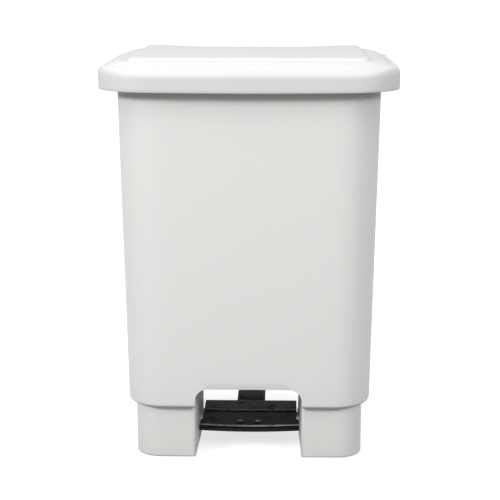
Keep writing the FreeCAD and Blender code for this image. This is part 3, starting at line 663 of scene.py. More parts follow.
class GeometryTree(Tree):
    """A Geometry Nodes tree with named inputs, used once and turned into a mesh."""

    def __init__(self, name: str, inputs: dict[str, tuple[str, Any]]) -> None:
        """Start the tree with its interface.

        Args:
            name: Tree name.
            inputs: Socket type and value by input name.
        """
        group = bpy.data.node_groups.new(name, "GeometryNodeTree")
        super().__init__(group)
        self.values = {key: value for key, (kind, value) in inputs.items()}
        group.interface.new_socket("Geometry", in_out="INPUT", socket_type="NodeSocketGeometry")
        group.interface.new_socket("Geometry", in_out="OUTPUT", socket_type="NodeSocketGeometry")
        for key, (kind, value) in inputs.items():
            group.interface.new_socket(key, in_out="INPUT", socket_type=kind)
        self.start = group.nodes.new("NodeGroupInput")

    def given(self, name: str) -> Sock:
        """One of the tree's named inputs."""
        return Sock(self, self.start.outputs[name])

    def run(self, name: str, geometry: Sock, points: Sequence[Point], finish: Finish) -> bpy.types.Object:
        """End the tree, run it over a set of points and keep the plain mesh.

        Args:
            name: Name of the new piece.
            geometry: What the tree has built.
            points: Vertices that the tree's input geometry holds.
            finish: Finish of the result.

        Returns:
            The new piece.
        """
        real = self.node("GeometryNodeRealizeInstances", {}, {"Geometry": geometry})
        painted = self.node("GeometryNodeSetMaterial", {}, {"Geometry": real, "Material": finish.material()})
        self.node("NodeGroupOutput", {}, {0: painted})
        mesh = bpy.data.meshes.new(name)
        mesh.from_pydata([tuple(p) for p in points], [], [])
        made = new_object(name, mesh)
        modifier = made.modifiers.new("pattern", "NODES")
        modifier.node_group = self.tree
        for item in self.tree.interface.items_tree:
            if item.in_out == "INPUT" and item.name in self.values:
                modifier[item.identifier] = self.values[item.name]
        settle(made)
        dress(made, finish)
        return made


FLOAT, VECTOR = "NodeSocketFloat", "NodeSocketVector"


@dataclass
class PanScrews:
    """Cross-recessed pan-head screws.

    Attributes:
        head_radius: Radius of the head.
        head_height: Height of the head.
        shank_radius: Radius of the shank.
        length: Length under the head.
        turn: Rotation from head-up, as Euler angles.
    """

    head_radius: float = 0.0039
    head_height: float = 0.0023
    shank_radius: float = 0.0019
    length: float = 0.0155
    turn: Point = (0.0, 0.0, 0.0)

    def build(self, name: str, seats: Sequence[Point]) -> bpy.types.Object:
        """One piece with a screw at each seat, the point under its head."""
        tree = GeometryTree(name + "_pattern", {
            "Head Radius": (FLOAT, self.head_radius), "Head Height": (FLOAT, self.head_height),
            "Shank Radius": (FLOAT, self.shank_radius), "Length": (FLOAT, self.length),
            "Turn": ("NodeSocketRotation", self.turn)})
        radius, height = tree.given("Head Radius"), tree.given("Head Height")
        skirt = tree.node("GeometryNodeMeshCylinder", {},
                          {"Vertices": 40, "Radius": radius, "Depth": height * 0.45})
        skirt = self._lift(tree, skirt, height * 0.225)
        dome = tree.node("GeometryNodeMeshUVSphere", {}, {"Segments": 40, "Rings": 16, "Radius": radius})
        dome = self._lift(tree, dome, height * 0.44, height * 0.56 / radius)
        head = tree.node("GeometryNodeMeshBoolean", {"operation": "UNION"}, {"Mesh 2": skirt})
        boolean = head.value.node
        tree.tree.links.new(dome.value, boolean.inputs["Mesh 2"])
        slots = tree.node("GeometryNodeMeshBoolean", {"operation": "DIFFERENCE"}, {"Mesh 1": head})
        for long_x in (True, False):
            sides = (radius * 1.1, radius * 0.26) if long_x else (radius * 0.26, radius * 1.1)
            size = tree.node("ShaderNodeCombineXYZ", {}, {0: sides[0], 1: sides[1], 2: height * 0.9})
            bar = tree.node("GeometryNodeMeshCube", {}, {"Size": size})
            tree.tree.links.new(self._lift(tree, bar, height).value, slots.value.node.inputs["Mesh 2"])
        shank = tree.node("GeometryNodeMeshCylinder", {},
                          {"Vertices": 20, "Radius": tree.given("Shank Radius"),
                           "Depth": tree.given("Length")})
        shank = self._lift(tree, shank, tree.given("Length") * -0.5 + 0.0001)
        screw = tree.node("GeometryNodeJoinGeometry", {}, {0: slots})
        tree.tree.links.new(shank.value, screw.value.node.inputs[0])
        spread = tree.node("GeometryNodeInstanceOnPoints", {},
                           {"Points": Sock(tree, tree.start.outputs["Geometry"]), "Instance": screw,
                            "Rotation": tree.given("Turn")})
        made = tree.run(name, spread, seats, Finish.SCREW)
        soften(made, smooth_angle=35.0)
        return made

    @staticmethod
    def _lift(tree: GeometryTree, mesh: Sock, height: Any, flatten: Any = 1.0) -> Sock:
        """Raise and flatten a mesh inside the tree."""
        move = tree.node("ShaderNodeCombineXYZ", {}, {2: height})
        scale = tree.node("ShaderNodeCombineXYZ", {}, {0: 1.0, 1: 1.0, 2: flatten})
        inputs = {"Geometry": mesh, "Translation": move, "Scale": scale}
        return tree.node("GeometryNodeTransform", {}, inputs)


@dataclass
class RoundButtons:
    """Short domed discs, such as rivet heads and rubber pads.

    Attributes:
        radius: Radius of the disc.
        wall: Height of its straight part.
        crown: Height of its dome.
        flip: Dome on the lower side.
    """

    radius: float
    wall: float
    crown: float
    flip: bool = False

    def build(self, name: str, seats: Sequence[Point], finish: Finish) -> bpy.types.Object:
        """One piece with a disc on each seat, the middle of its flat face."""
        tree = GeometryTree(name + "_pattern", {
            "Radius": (FLOAT, self.radius), "Wall": (FLOAT, self.wall), "Crown": (FLOAT, self.crown)})
        radius, wall, crown = tree.given("Radius"), tree.given("Wall"), tree.given("Crown")
        drum = tree.node("GeometryNodeMeshCylinder", {}, {"Vertices": 48, "Radius": radius, "Depth": wall})
        drum = PanScrews._lift(tree, drum, wall * 0.5)
        dome = tree.node("GeometryNodeMeshUVSphere", {}, {"Segments": 48, "Rings": 20, "Radius": radius})
        dome = PanScrews._lift(tree, dome, wall * 0.98, crown / radius)
        whole = tree.node("GeometryNodeMeshBoolean", {"operation": "UNION"}, {"Mesh 2": drum})
        tree.tree.links.new(dome.value, whole.value.node.inputs["Mesh 2"])
        sign = (math.pi, 0.0, 0.0) if self.flip else (0.0, 0.0, 0.0)
        spread = tree.node("GeometryNodeInstanceOnPoints", {},
                           {"Points": Sock(tree, tree.start.outputs["Geometry"]), "Instance": whole,
                            "Rotation": sign})
        made = tree.run(name, spread, seats, finish)
        soften(made, smooth_angle=40.0)
        return made


@dataclass
class RibRow:
    """Equal upright ribs on a row of points.

    Attributes:
        size: Size of one rib along X, Y and Z.
    """

    size: Point

    def build(self, name: str, seats: Sequence[Point], finish: Finish) -> bpy.types.Object:
        """One piece with a rib centred on each seat."""
        tree = GeometryTree(name + "_pattern", {"Rib Size": (VECTOR, self.size)})
        bar = tree.node("GeometryNodeMeshCube", {}, {"Size": tree.given("Rib Size")})
        spread = tree.node("GeometryNodeInstanceOnPoints", {},
                           {"Points": Sock(tree, tree.start.outputs["Geometry"]), "Instance": bar})
        made = tree.run(name, spread, seats, finish)
        soften(made, width=min(self.size) * 0.2)
        return made


# ---------------------------------------------------------------- the tub


@dataclass
class Tub:
    """The tapered tub with its rim, tunnel, rod groove and hinge ears.

    Attributes:
        foot_half: Half width and half depth at the foot.
        rim_half: Half width and half depth at the rim.
        foot_radius: Corner radius at the foot.
        rim_radius: Corner radius at the rim.
        edge: Radius of the edge under the tub.
        inner_edge: Radius inside, round the floor.
        wall: Wall thickness.
        flange: Width of the rim flange.
        flange_thick: Thickness of the rim flange.
        tunnel_half: Half width of the tunnel.
        tunnel_top: Height of the tunnel's roof.
        tunnel_corner: Radius of the tunnel's upper corners.
        groove_half: Half width of the rod groove.
        hinge_x: Middle of each hinge.
        ear_width: Width of one ear.
        ear_gap: Half the space between two ears.
        ear_radius: Radius of an ear.
    """

    foot_half: tuple[float, float] = (0.134, 0.1145)
    rim_half: tuple[float, float] = (0.1415, 0.121)
    foot_radius: float = 0.042
    rim_radius: float = 0.046
    edge: float = 0.004
    inner_edge: float = 0.003
    wall: float = 0.0026
    flange: float = 0.004
    flange_thick: float = 0.0035
    tunnel_half: float = 0.0585
    tunnel_top: float = 0.0816
    tunnel_corner: float = 0.014
    groove_half: float = 0.013
    hinge_x: float = 0.075
    ear_width: float = 0.009
    ear_gap: float = 0.0046
    ear_radius: float = 0.005
    foot_z: float = field(init=False)
    rim_z: float = field(init=False)
    hinge: Vector = field(init=False)
    groove_y: float = field(init=False)

    def __post_init__(self) -> None:
        """Read heights and the hinge from the frame."""
        low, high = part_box("body_shell")
        self.foot_z, self.rim_z = low.z, high.z
        self.hinge = Vector(next(j["pos_m"] for j in frame["joints"] if j["name"] == "lid_hinge"))
        self.groove_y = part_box("rod_guide_upper")[0].y

    def section(self, z: float, inset: float) -> Section:
        """The tub's outline at a height, moved in by a distance."""
        share = (z - self.foot_z) / (self.rim_z - self.foot_z)
        half_x = self.foot_half[0] + (self.rim_half[0] - self.foot_half[0]) * share
        half_y = self.foot_half[1] + (self.rim_half[1] - self.foot_half[1]) * share
        radius = self.foot_radius + (self.rim_radius - self.foot_radius) * share
        return Section(half_x, half_y, radius, z).inset(inset)

    def rings(self) -> list[list[Vector]]:
        """Rings from the middle of the underside, up the outside, over the rim and down inside."""
        rings: list[Section | list[Vector]] = []
        for step in range(9):
            a = math.pi / 2 * step / 8
            z = self.foot_z + self.edge * (1 - math.cos(a))
            rings.append(self.section(z, self.edge * (1 - math.sin(a))))
        top = self.rim_z - self.flange_thick
        start = self.foot_z + self.edge
        for step in range(1, 13):
            rings.append(self.section(start + (top - self.foot_z - self.edge) * step / 12, 0.0))
        found = [r.points() for r in rings]
        lip = self.flange
        profile = [(0.0012, 0.0), (lip - 0.0008, 0.0), (lip - 0.0002, 0.0003), (lip, 0.0009)]
        profile += [(lip, self.flange_thick - 0.0012), (lip - 0.0004, self.flange_thick - 0.0004)]
        profile += [(lip - 0.0012, self.flange_thick)]
        for out, up in profile:
            found.append(self.flange_ring(out, top + up))
        inner = self.wall
        for inset, drop in ((inner - 0.0008, 0.0), (inner - 0.0002, 0.0003), (inner, 0.001)):
            found.append(self.section(self.rim_z - drop, inset).points())
        floor = self.foot_z + self.wall
        radius = self.inner_edge
        for step in range(1, 9):
            z = self.rim_z - (self.rim_z - floor - radius) * step / 8
            found.append(self.section(z, inner).points())
        for step in range(1, 7):
            a = math.pi / 2 * step / 6
            z = floor + radius * (1 - math.sin(a))
            found.append(self.section(z, inner + radius * (1 - math.cos(a))).points())
        return found

    def flange_ring(self, out: float, z: float) -> list[Vector]:
        """A ring of the rim flange, which fades into the wall at the back."""
        wide = self.section(z, -out).points()
        plain = self.section(z, 0.0).points()
        back = self.rim_half[1] - 0.013
        return [w.lerp(p, smoothstep(back - 0.004, back, p.y)) for w, p in zip(wide, plain)]

    def tunnel(self, name: str, grow: float) -> bpy.types.Object:
        """The tunnel as a tool, grown by a wall."""
        half, top, r = self.tunnel_half + grow, self.tunnel_top + grow, self.tunnel_corner + grow
        outline = [(-half, 0.02), (half, 0.02)] + arc(half - r, top - r, r, 0, 90, 14)
        outline += arc(r - half, top - r, r, 90, 180, 14)
        return extrude_outline(name, outline, "Y", -0.3, 0.3)

    def groove(self, name: str, grow: float, low: float, high: float) -> bpy.types.Object:
        """The rod groove as a tool, grown by a wall."""
        half, y, r = self.groove_half + grow, self.groove_y - grow, 0.002 + grow
        outline = arc(r - half, y + r, r, 180, 270, 5) + arc(half - r, y + r, r, 270, 360, 5)
        return extrude_outline(name, outline + [(half, 0.3), (-half, 0.3)], "Z", low, high)

    def ears(self) -> list[bpy.types.Object]:
        """The four hinge ears with their gussets."""
        made = []
        wall_y = self.rim_half[1] - 0.0018
        y, z, r = self.hinge.y, self.hinge.z, self.ear_radius
        outline = [(wall_y, z + r)] + arc(y, z, r, 90, -45, 12) + [(wall_y, z - 0.019)]
        for side in (-1, 1):
            for start in (self.ear_gap, -self.ear_gap - self.ear_width):
                x = side * self.hinge_x + start
                made.append(extrude_outline("ear", outline, "X", x, x + self.ear_width))
        return made

    def build(self) -> bpy.types.Object:
        """Build the tub as one closed shell."""
        shell = loft("tub", self.rings())
        solid = loft("solid", [r for r in self.rings()[:21]] + [self.section(self.rim_z, 0.0).points()])
        hump = self.tunnel("hump", self.wall)
        combine(hump, [self.groove("boss", self.wall, 0.03, self.rim_z)], "UNION")
        combine(hump, [solid], "INTERSECT")
        combine(shell, [hump], "UNION")
        combine(shell, self.ears(), "UNION")
        combine(shell, [self.tunnel("bore", 0.0), self.groove("slot", 0.0, 0.0, 0.5)], "DIFFERENCE")
        soften(shell, 0.0007, 2)
        dress(shell, Finish.TUB)
        return shell


# ---------------------------------------------------------------- the legs


@dataclass
class Legs:
    """The two inset legs.

    Attributes:
        radius: Plan corner radius.
        edge: Radius of the edge on the floor.
        front_half: Half width between the legs at the front.
        throat_half: Half width between the legs at the axle.
        throat_y: Where the throat ends.
        rear_half: Half width between the legs at the back.
        nose: Radius of the legs' inner front edges.
    """

    radius: float = 0.027
    edge: float = 0.002
    front_half: float = 0.0585
    throat_half: float = 0.056
    throat_y: float = 0.0095
    rear_half: float = 0.066
    nose: float = 0.003

    def gap(self) -> bpy.types.Object:
        """The space between the legs as a tool."""
        low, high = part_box("leg_right")
        front, back = low.y, high.y
        flare = [(self.front_half + self.nose + 0.001, y) for y in (front - 0.01, front)]
        flare += arc(self.front_half + self.nose, front + self.nose, self.nose, 270, 180, 6)
        right = flare + [(self.throat_half, 0.0), (self.throat_half, self.throat_y)]
        right += [(self.rear_half, self.throat_y + 0.008), (self.rear_half, back + 0.01)]
        outline = right + [(-x, y) for x, y in reversed(right)]
        return extrude_outline("gap", outline, "Z", -0.05, 0.2)

    def build(self) -> list[bpy.types.Object]:
        """Build both legs."""
        low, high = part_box("leg_right")
        base = Section(high.x, high.y, self.radius, low.z)
        rings = []
        for step in range(11):
            a = math.pi / 2 * step / 10
            z = low.z + self.edge * (1 - math.cos(a))
            rings.append(base.inset(self.edge * (1 - math.sin(a)), z).points())
        for step in range(1, 5):
            z = low.z + self.edge + (high.z - low.z - self.edge) * step / 4
            rings.append(base.inset(0.0, z).points())
        made = []
        for side, name in ((-1, "leg_left_shell"), (1, "leg_right_shell")):
            block = loft(name, rings)
            half = extrude_outline("half", [(0.0, -0.2), (side * 0.2, -0.2), (side * 0.2, 0.2), (0.0, 0.2)],
                                   "Z", -0.1, 0.3)
            combine(block, [half], "INTERSECT")
            combine(block, [self.gap()], "DIFFERENCE")
            soften(block, 0.0008, 2)
            dress(block, Finish.LEG)
            made.append(block)
        return made


# ---------------------------------------------------------------- the lid


@dataclass
class Lid:
    """The lid: skirt, rounded deck edge, sloped step and plateau, over a hollow inside.

    Attributes:
        radius: Plan corner radius.
        wall: Wall thickness.
        deck_drop: Front deck below the plateau.
        side_lift: How much higher the deck is at the sides.
        edge: Radius of the deck's edge at the front.
        side_edge: Radius of the deck's edge at the sides.
        step_drop: Ledge below the plateau.
        bow: How far the front bows out in its middle.
        dip: Depth of the hollow along the plateau's back.
    """

    radius: float = 0.050
    wall: float = 0.0025
    deck_drop: float = 0.0105
    side_lift: float = 0.0022
    edge: float = 0.009
    side_edge: float = 0.0065
    step_drop: float = 0.003
    bow: float = 0.0028
    dip: float = 0.0018
    low: Vector = field(init=False)
    high: Vector = field(init=False)

    def __post_init__(self) -> None:
        """Read the lid's box from the frame."""
        self.low, self.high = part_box("lid")

    def outer(self, drop: float) -> list[Section]:
        """Sections from the skirt's foot to the plateau's middle.

        Args:
            drop: 0 for the outside, or the wall for the inside.

        Returns:
            The sections in order.
        """
        top = self.high.z - drop
        deck = top - self.deck_drop
        base = Section(self.high.x, self.high.y, self.radius, self.low.z).inset(drop)
        edge, side = self.edge - drop, self.side_edge - drop
        found = [base.inset(0.0004, self.low.z), base.inset(0.0, self.low.z + 0.0008)]
        if drop:
            found = [base.inset(-0.0004, self.low.z), base.inset(0.0, self.low.z + 0.0006)]
        for step in range(1, 5):
            found.append(base.inset(0.0, self.low.z + (deck - edge - self.low.z) * step / 4))
        for step in range(1, 13):
            a = math.pi / 2 * step / 12
            z = deck - edge * (1 - math.sin(a))
            reach = max(0.0, z - (deck - side)) / side
            in_x = side * (1 - math.sqrt(max(0.0, 1 - reach * reach)))
            in_y = edge * (1 - math.cos(a))
            found.append(Section(base.half_x - in_x, base.half_y - in_y, base.radius - (in_x + in_y) / 2, z))
        found += self.step_sections(base, deck, top)
        found += self.plateau_sections(top, drop)
        return found

    def step_sections(self, base: Section, deck: float, top: float) -> list[Section]:
        """The sloped shoulder between the deck's edge and the ledge."""
        ledge = top - self.step_drop
        start_x, start_y = base.half_x - 0.0075, base.half_y - 0.0105
        found = []
        shoulder = ((0.0, 0.0, 0.015), (0.12, 0.3, 0.1), (0.28, 0.5, 0.3), (0.42, 0.62, 0.52),
                    (0.56, 0.74, 0.72), (0.72, 0.86, 0.88), (0.86, 0.95, 0.97), (1.0, 1.0, 1.0))
        for share_x, share_y, rise in shoulder:
            found.append(Section(start_x - 0.0165 * share_x, start_y - 0.0075 * share_y,
                                 self.radius - 0.010 - 0.008 * share_x, deck + (ledge - deck) * rise))
        return found

    def plateau_sections(self, top: float, drop: float) -> list[Section]:
        """The plateau's riser and its rings towards the middle."""
        front = self.low.y + 0.0325 + drop
        back = self.high.y - 0.0165 - drop
        half_y, mid = (back - front) / 2, (back + front) / 2
        half_x = self.high.x - 0.0335 - drop
        ledge = top - self.step_drop
        found = [Section(half_x + 0.0007, half_y + 0.0007, 0.0087, ledge, mid),
                 Section(half_x + 0.0002, half_y + 0.0002, 0.0082, ledge + 0.0004, mid),
                 Section(half_x, half_y, 0.0080, top - 0.0009, mid),
                 Section(half_x - 0.0004, half_y - 0.0004, 0.0076, top - 0.0003, mid),
                 Section(half_x - 0.0012, half_y - 0.0012, 0.0068, top, mid)]
        for step in range(1, 9):
            share = 1 - step / 9
            found.append(Section(half_x * share, half_y * share, max(0.006 * share, 0.001), top, mid))
        return found

    def shape(self, point: Vector) -> Vector:
        """Bow the front, lift the skirt's corners and the deck's sides, and hollow the plateau's back."""
        across = abs(point.x) / self.high.x
        y = point.y * (1.0 - self.bow / self.high.y * across * across)
        z = point.z
        z += 0.0012 * across * across * (1.0 - smoothstep(self.low.z, self.low.z + 0.008, z))
        deck = self.high.z - self.deck_drop
        on_deck = smoothstep(deck - 0.009, deck - 0.001, z)
        on_deck *= 1.0 - smoothstep(deck + 0.002, deck + 0.0075, z)
        z += self.side_lift * smoothstep(0.115, 0.150, abs(point.x)) * on_deck
        side = 1.0 - smoothstep(0.055, 0.112, abs(point.x))
        behind = smoothstep(0.02, 0.115, point.y)
        lift = smoothstep(self.high.z - 0.014, self.high.z - 0.002, z)
        return Vector((point.x, y, z - self.dip * side * behind * lift))

    def extras(self) -> list[bpy.types.Object]:
        """Hinge lugs and the crank's pad, as tools that join the lid."""
        hinge = Vector(next(j["pos_m"] for j in frame["joints"] if j["name"] == "lid_hinge"))
        roof = self.high.z - self.deck_drop - 0.0008
        pad_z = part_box("lid_crank")[1].z
        made = []
        for side in (-1, 1):
            x = side * 0.075
            r = 0.0043
            outline = [(hinge.y + r, roof), (hinge.y - r, roof)] + arc(hinge.y, hinge.z, r, 180, 360, 16)
            made.append(extrude_outline("lug", outline, "X", x - 0.004, x + 0.004))
        half, front, back = 0.02, hinge.y - 0.022, hinge.y + 0.004
        outline = [(-half, front), (half, front), (half, back), (-half, back)]
        made.append(extrude_outline("pad", outline, "Z", pad_z, roof))
        return made

    def build(self) -> bpy.types.Object:
        """Build the lid as one closed shell."""
        outside = [s.points(18, 16) for s in self.outer(0.0)]
        inside = [s.points(18, 16) for s in self.outer(self.wall)]
        rings = [[self.shape(p) for p in ring] for ring in outside[::-1] + inside]
        shell = loft("lid_shell", rings)
        notch_z = self.low.z + 0.004
        half, r = 0.104, 0.002
        outline = [(-half, self.low.z - 0.01), (half, self.low.z - 0.01)]
        outline += arc(half - r, notch_z - r, r, 0, 90, 5) + arc(r - half, notch_z - r, r, 90, 180, 5)
        notch = extrude_outline("notch", outline, "Y", self.high.y - 0.009, self.high.y + 0.02)
        combine(shell, self.extras(), "UNION")
        combine(shell, [notch], "DIFFERENCE")
        soften(shell, 0.0, smooth_angle=30.0)
        dress(shell, Finish.LID)
        return shell


# ---------------------------------------------------------------- the pedal


@dataclass
class Tread:
    """The foot plate: bowed front lip, two broken cross ribs and a shallow field between them.

    Attributes:
        half: Half width at the back.
        wide: Half width at the front.
        widen: Length of the wide part.
        bow: How far the front edge bows out.
        thick: Plate thickness.
        rib_height: Height of the cross ribs.
        rib_half: Half width of a cross rib.
        segments: Pieces in each cross rib.
        gap_half: Half of the gap between two pieces.
        back_rib_in: Back rib's distance from the plate's back edge.
        front_rib_in: Front rib's distance from the front edge.
        rib_curve: How much further forward the back rib's middle lies than its ends.
        field_sink: Depth of the field between the ribs.
        nose_radius: Radius of the front edge.
        rim_radius: Radius of the other edges.
    """

    half: float = 0.054
    wide: float = 0.0563
    widen: float = 0.030
    bow: float = 0.005
    thick: float = 0.003
    rib_height: float = 0.001
    rib_half: float = 0.0020
    segments: int = 4
    gap_half: float = 0.0016
    back_rib_in: float = 0.0365
    front_rib_in: float = 0.0062
    rib_curve: float = 0.0018
    field_sink: float = 0.0006
    nose_radius: float = 0.0028
    rim_radius: float = 0.0009
    low: Vector = field(init=False)
    high: Vector = field(init=False)

    def __post_init__(self) -> None:
        """Read the plate's box from the frame."""
        self.low, self.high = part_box("pedal_tread")

    def edge_y(self, across: float) -> float:
        """Front edge at a share of the half width."""
        return self.low.y + self.bow * across * across

    def half_at(self, y: float) -> float:
        """Half width at a depth."""
        start = self.low.y + self.bow + self.widen
        return self.half + (self.wide - self.half) * smoothstep(start, start - 0.006, y)

    def broken(self, x: float) -> float:
        """1 on a rib piece and 0 in the gaps between pieces."""
        span = 2 * self.half / self.segments
        off = abs((x + self.half) % span - span / 2)
        return 1.0 - smoothstep(span / 2 - self.gap_half - 0.0008, span / 2 - self.gap_half + 0.0004, off)

    def rib(self, y: float, middle: float) -> float:
        """Height share of a cross rib at a depth."""
        off = abs(y - middle)
        return 1.0 - smoothstep(self.rib_half * 0.6, self.rib_half, off)

    @staticmethod
    def rounded(inward: float, radius: float) -> float:
        """How far a rounded edge drops at a distance in from the edge."""
        if inward >= radius:
            return 0.0
        return radius - math.sqrt(max(0.0, radius ** 2 - (radius - inward) ** 2))

    def top_z(self, x: float, y: float, across: float) -> float:
        """Height of the upper surface."""
        plate = self.high.z - self.rib_height
        curve = self.rib_curve * (1 - across * across)
        back_rib = self.high.y - self.back_rib_in - curve
        front_rib = self.edge_y(across) + self.front_rib_in
        z = plate
        field_in = smoothstep(back_rib - 0.003, back_rib - 0.0055, y)
        field_out = smoothstep(front_rib + 0.0025, front_rib + 0.005, y)
        z -= self.field_sink * field_in * field_out
        z += self.rib_height * self.rib(y, back_rib) * self.broken(x)
        z += self.rib_height * self.rib(y, front_rib) * (0.55 + 0.45 * self.broken(x))
        z -= self.rounded(y - self.edge_y(across), self.nose_radius)
        return z - self.rounded(min(self.half_at(y) - abs(x), self.high.y - y), self.rim_radius)

    def under_z(self, x: float, y: float, across: float) -> float:
        """Height of the lower surface, with the lip and the side skirts turned down."""
        plate = self.high.z - self.rib_height - self.thick
        skirt = smoothstep(0.0031, 0.0022, self.half_at(y) - abs(x))
        lip = smoothstep(0.0065, 0.005, y - self.edge_y(across))
        return plate + (self.low.z - plate) * max(skirt, lip)

    def build(self) -> bpy.types.Object:
        """Build the foot plate as one closed mesh."""
        rim = (0.0, 0.002, 0.004, 0.007, 0.012, 0.02, 0.026, 0.032)
        shares_x = sorted(set([i / 132 for i in range(133)] + list(rim) + [1 - r for r in rim]))
        length = self.high.y - self.low.y
        shares_y = sorted(set([i / 120 for i in range(121)] + list(rim) + [1 - r * 0.6 for r in rim]))
        points: list[Vector] = []
        cols, rows = len(shares_x), len(shares_y)
        for upper in (True, False):
            for v in shares_y:
                for u in shares_x:
                    across = 2 * u - 1
                    y = self.edge_y(across) + (self.high.y - self.edge_y(across)) * v
                    x = across * self.half_at(y)
                    z = self.top_z(x, y, across) if upper else self.under_z(x, y, across)
                    points.append(Vector((x, y, z)))
        faces = []
        under = cols * rows
        for r in range(rows - 1):
            for c in range(cols - 1):
                a = r * cols + c
                faces.append([a, a + 1, a + cols + 1, a + cols])
                faces.append([under + a, under + a + cols, under + a + cols + 1, under + a + 1])
        border = [c for c in range(cols)] + [r * cols + cols - 1 for r in range(1, rows)]
        border += [(rows - 1) * cols + c for c in range(cols - 2, -1, -1)]
        border += [r * cols for r in range(rows - 2, 0, -1)]
        for i, a in enumerate(border):
            b = border[(i + 1) % len(border)]
            faces.append([a, under + a, under + b, b])
        made = from_faces("foot_plate", points, faces)
        LOG.info("foot plate is %.3f m long", length)
        soften(made, 0.0, smooth_angle=38.0)
        dress(made, Finish.PEDAL)
        return made

    def under_ribs(self) -> bpy.types.Object:
        """Stiffening ribs under the plate, clear of the lever."""
        plate = self.high.z - self.rib_height - self.thick
        height = plate - self.low.z
        seats = []
        for side in (-1, 1):
            for step in range(5):
                y = self.low.y + 0.022 + 0.0135 * step
                seats.append((side * 0.0345, y, plate - height / 2 + 0.0002))
        return RibRow((0.032, 0.0012, height)).build("foot_plate_ribs", seats, Finish.PEDAL)


# ---------------------------------------------------------------- small parts taken from the frame


@dataclass(frozen=True)
class Refined:
    """A CAD node whose shape is right and which only gets rounded edges and a finish.

    Attributes:
        name: Name of the new piece.
        node: The CAD node.
        body: Body that it rides on.
        slot: Material slot.
        finish: Its finish.
        edge: Width of the rounded edges.
    """

    name: str
    node: str
    body: str
    slot: str
    finish: Finish
    edge: float = 0.0003

    def build(self) -> bpy.types.Object:
        """Copy the node, round it and put it in place."""
        made = cad_copy(self.name, self.node)
        soften(made, self.edge, 2)
        dress(made, self.finish)
        place(made, self.body, self.slot, self.node)
        return made


REFINED = (
    Refined("lever", "pedal_lever", "pedal", "lever_steel", Finish.LEVER, 0.0005),
    Refined("axle", "pedal_axle", "pedal", "rod_steel", Finish.PIN, 0.0004),
    Refined("spring_clips", "axle_clips", "pedal", "screw_steel", Finish.SCREW, 0.0001),
    Refined("bushes", "axle_bushes", "tub", "bush_plastic", Finish.ACETAL, 0.0003),
    Refined("guide_high", "rod_guide_upper", "tub", "guide_plastic", Finish.GUIDE, 0.0004),
    Refined("guide_low", "rod_guide_lower", "tub", "guide_plastic", Finish.GUIDE, 0.0004),
    Refined("pin_left", "hinge_pin_left", "tub", "rod_steel", Finish.PIN, 0.0004),
    Refined("pin_right", "hinge_pin_right", "tub", "rod_steel", Finish.PIN, 0.0004),
    Refined("crank", "lid_crank", "lid", "guide_plastic", Finish.GUIDE, 0.0004),
    Refined("lift_rod", "push_rod", "push_rod", "rod_steel", Finish.ROD, 0.0003),
    Refined("rod_end_caps", "rod_caps", "push_rod", "guide_plastic", Finish.GUIDE, 0.0001),
)


def cluster_seats(node: str, top: bool) -> list[Point]:
    """Middle of each separate solid in a node, at its upper or lower face.

    Args:
        node: A CAD node that holds a group of solids.
        top: Upper faces, or else lower faces.

    Returns:
        One point for each solid.
    """
    bm = bmesh.new()
    bm.from_mesh(frame["nodes"][node].data)
    bmesh.ops.remove_doubles(bm, verts=bm.verts, dist=0.000005)
    left, seats = set(bm.verts), []
    while left:
        group, edge = set(), [left.pop()]
        while edge:
            vertex = edge.pop()
            group.add(vertex)
            for link in vertex.link_edges:
                other = link.other_vert(vertex)
                if other in left:
                    left.discard(other)
                    edge.append(other)
        low = [min(v.co[i] for v in group) for i in range(3)]
        high = [max(v.co[i] for v in group) for i in range(3)]
        seats.append(((low[0] + high[0]) / 2, (low[1] + high[1]) / 2, high[2] if top else low[2]))
    bm.free()
    return sorted(seats)


@dataclass
class Fasteners:
    """Screws, rivets, pads and buffers, each as a pattern."""

    head: float = 0.0024

    def build(self) -> None:
        """Build and place every pattern."""
        seats = [(x, y, z - self.head) for x, y, z in cluster_seats("leg_screws", True)]
        place(PanScrews().build("tub_screws", seats), "tub", "screw_steel", "leg_screws")
        low = [(x, y, z + self.head) for x, y, z in cluster_seats("crank_screws", False)]
        upside = PanScrews(length=0.0055, turn=(math.pi, 0.0, 0.0))
        place(upside.build("crank_fixings", low), "lid", "screw_steel", "crank_screws")
        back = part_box("guide_screws")[1].y - self.head
        middle = [(x, back, z - 0.004) for x, y, z in cluster_seats("guide_screws", True)]
        facing = PanScrews(length=0.0075, turn=(-math.pi / 2, 0.0, 0.0))
        place(facing.build("guide_fixings", middle), "tub", "screw_steel", "guide_screws")
        self.rivets()
        self.rubber()

    def rivets(self) -> None:
        """Domed rivet heads above the foot plate and under the lever."""
        upper = [(x, y, z - 0.001) for x, y, z in cluster_seats("lever_rivets", True)]
        heads = RoundButtons(0.0035, 0.0003, 0.0007).build("rivet_heads", upper, Finish.PEDAL)
        place(heads, "pedal", "lever_steel", "lever_rivets")
        lower = [(x, y, z + 0.001) for x, y, z in cluster_seats("lever_rivets", False)]
        tails = RoundButtons(0.0035, 0.0003, 0.0007, flip=True).build("rivet_tails", lower, Finish.SCREW)
        place(tails, "pedal", "lever_steel", "lever_rivets")

    def rubber(self) -> None:
        """Foot pads and lid buffers."""
        pads = [(x, y, z) for x, y, z in cluster_seats("foot_pads", True)]
        thick = pads[0][2]
        pad = RoundButtons(0.009, thick - 0.0007, 0.0007, flip=True)
        made = pad.build("floor_pads", pads, Finish.RUBBER)
        place(made, "tub", "rubber", "foot_pads")
        tops = cluster_seats("lid_buffers", True)
        made = RoundButtons(0.0034, 0.0024, 0.001, flip=True).build("buffers", tops, Finish.RUBBER)
        place(made, "lid", "rubber", "lid_buffers")


# ---------------------------------------------------------------- the inner bucket


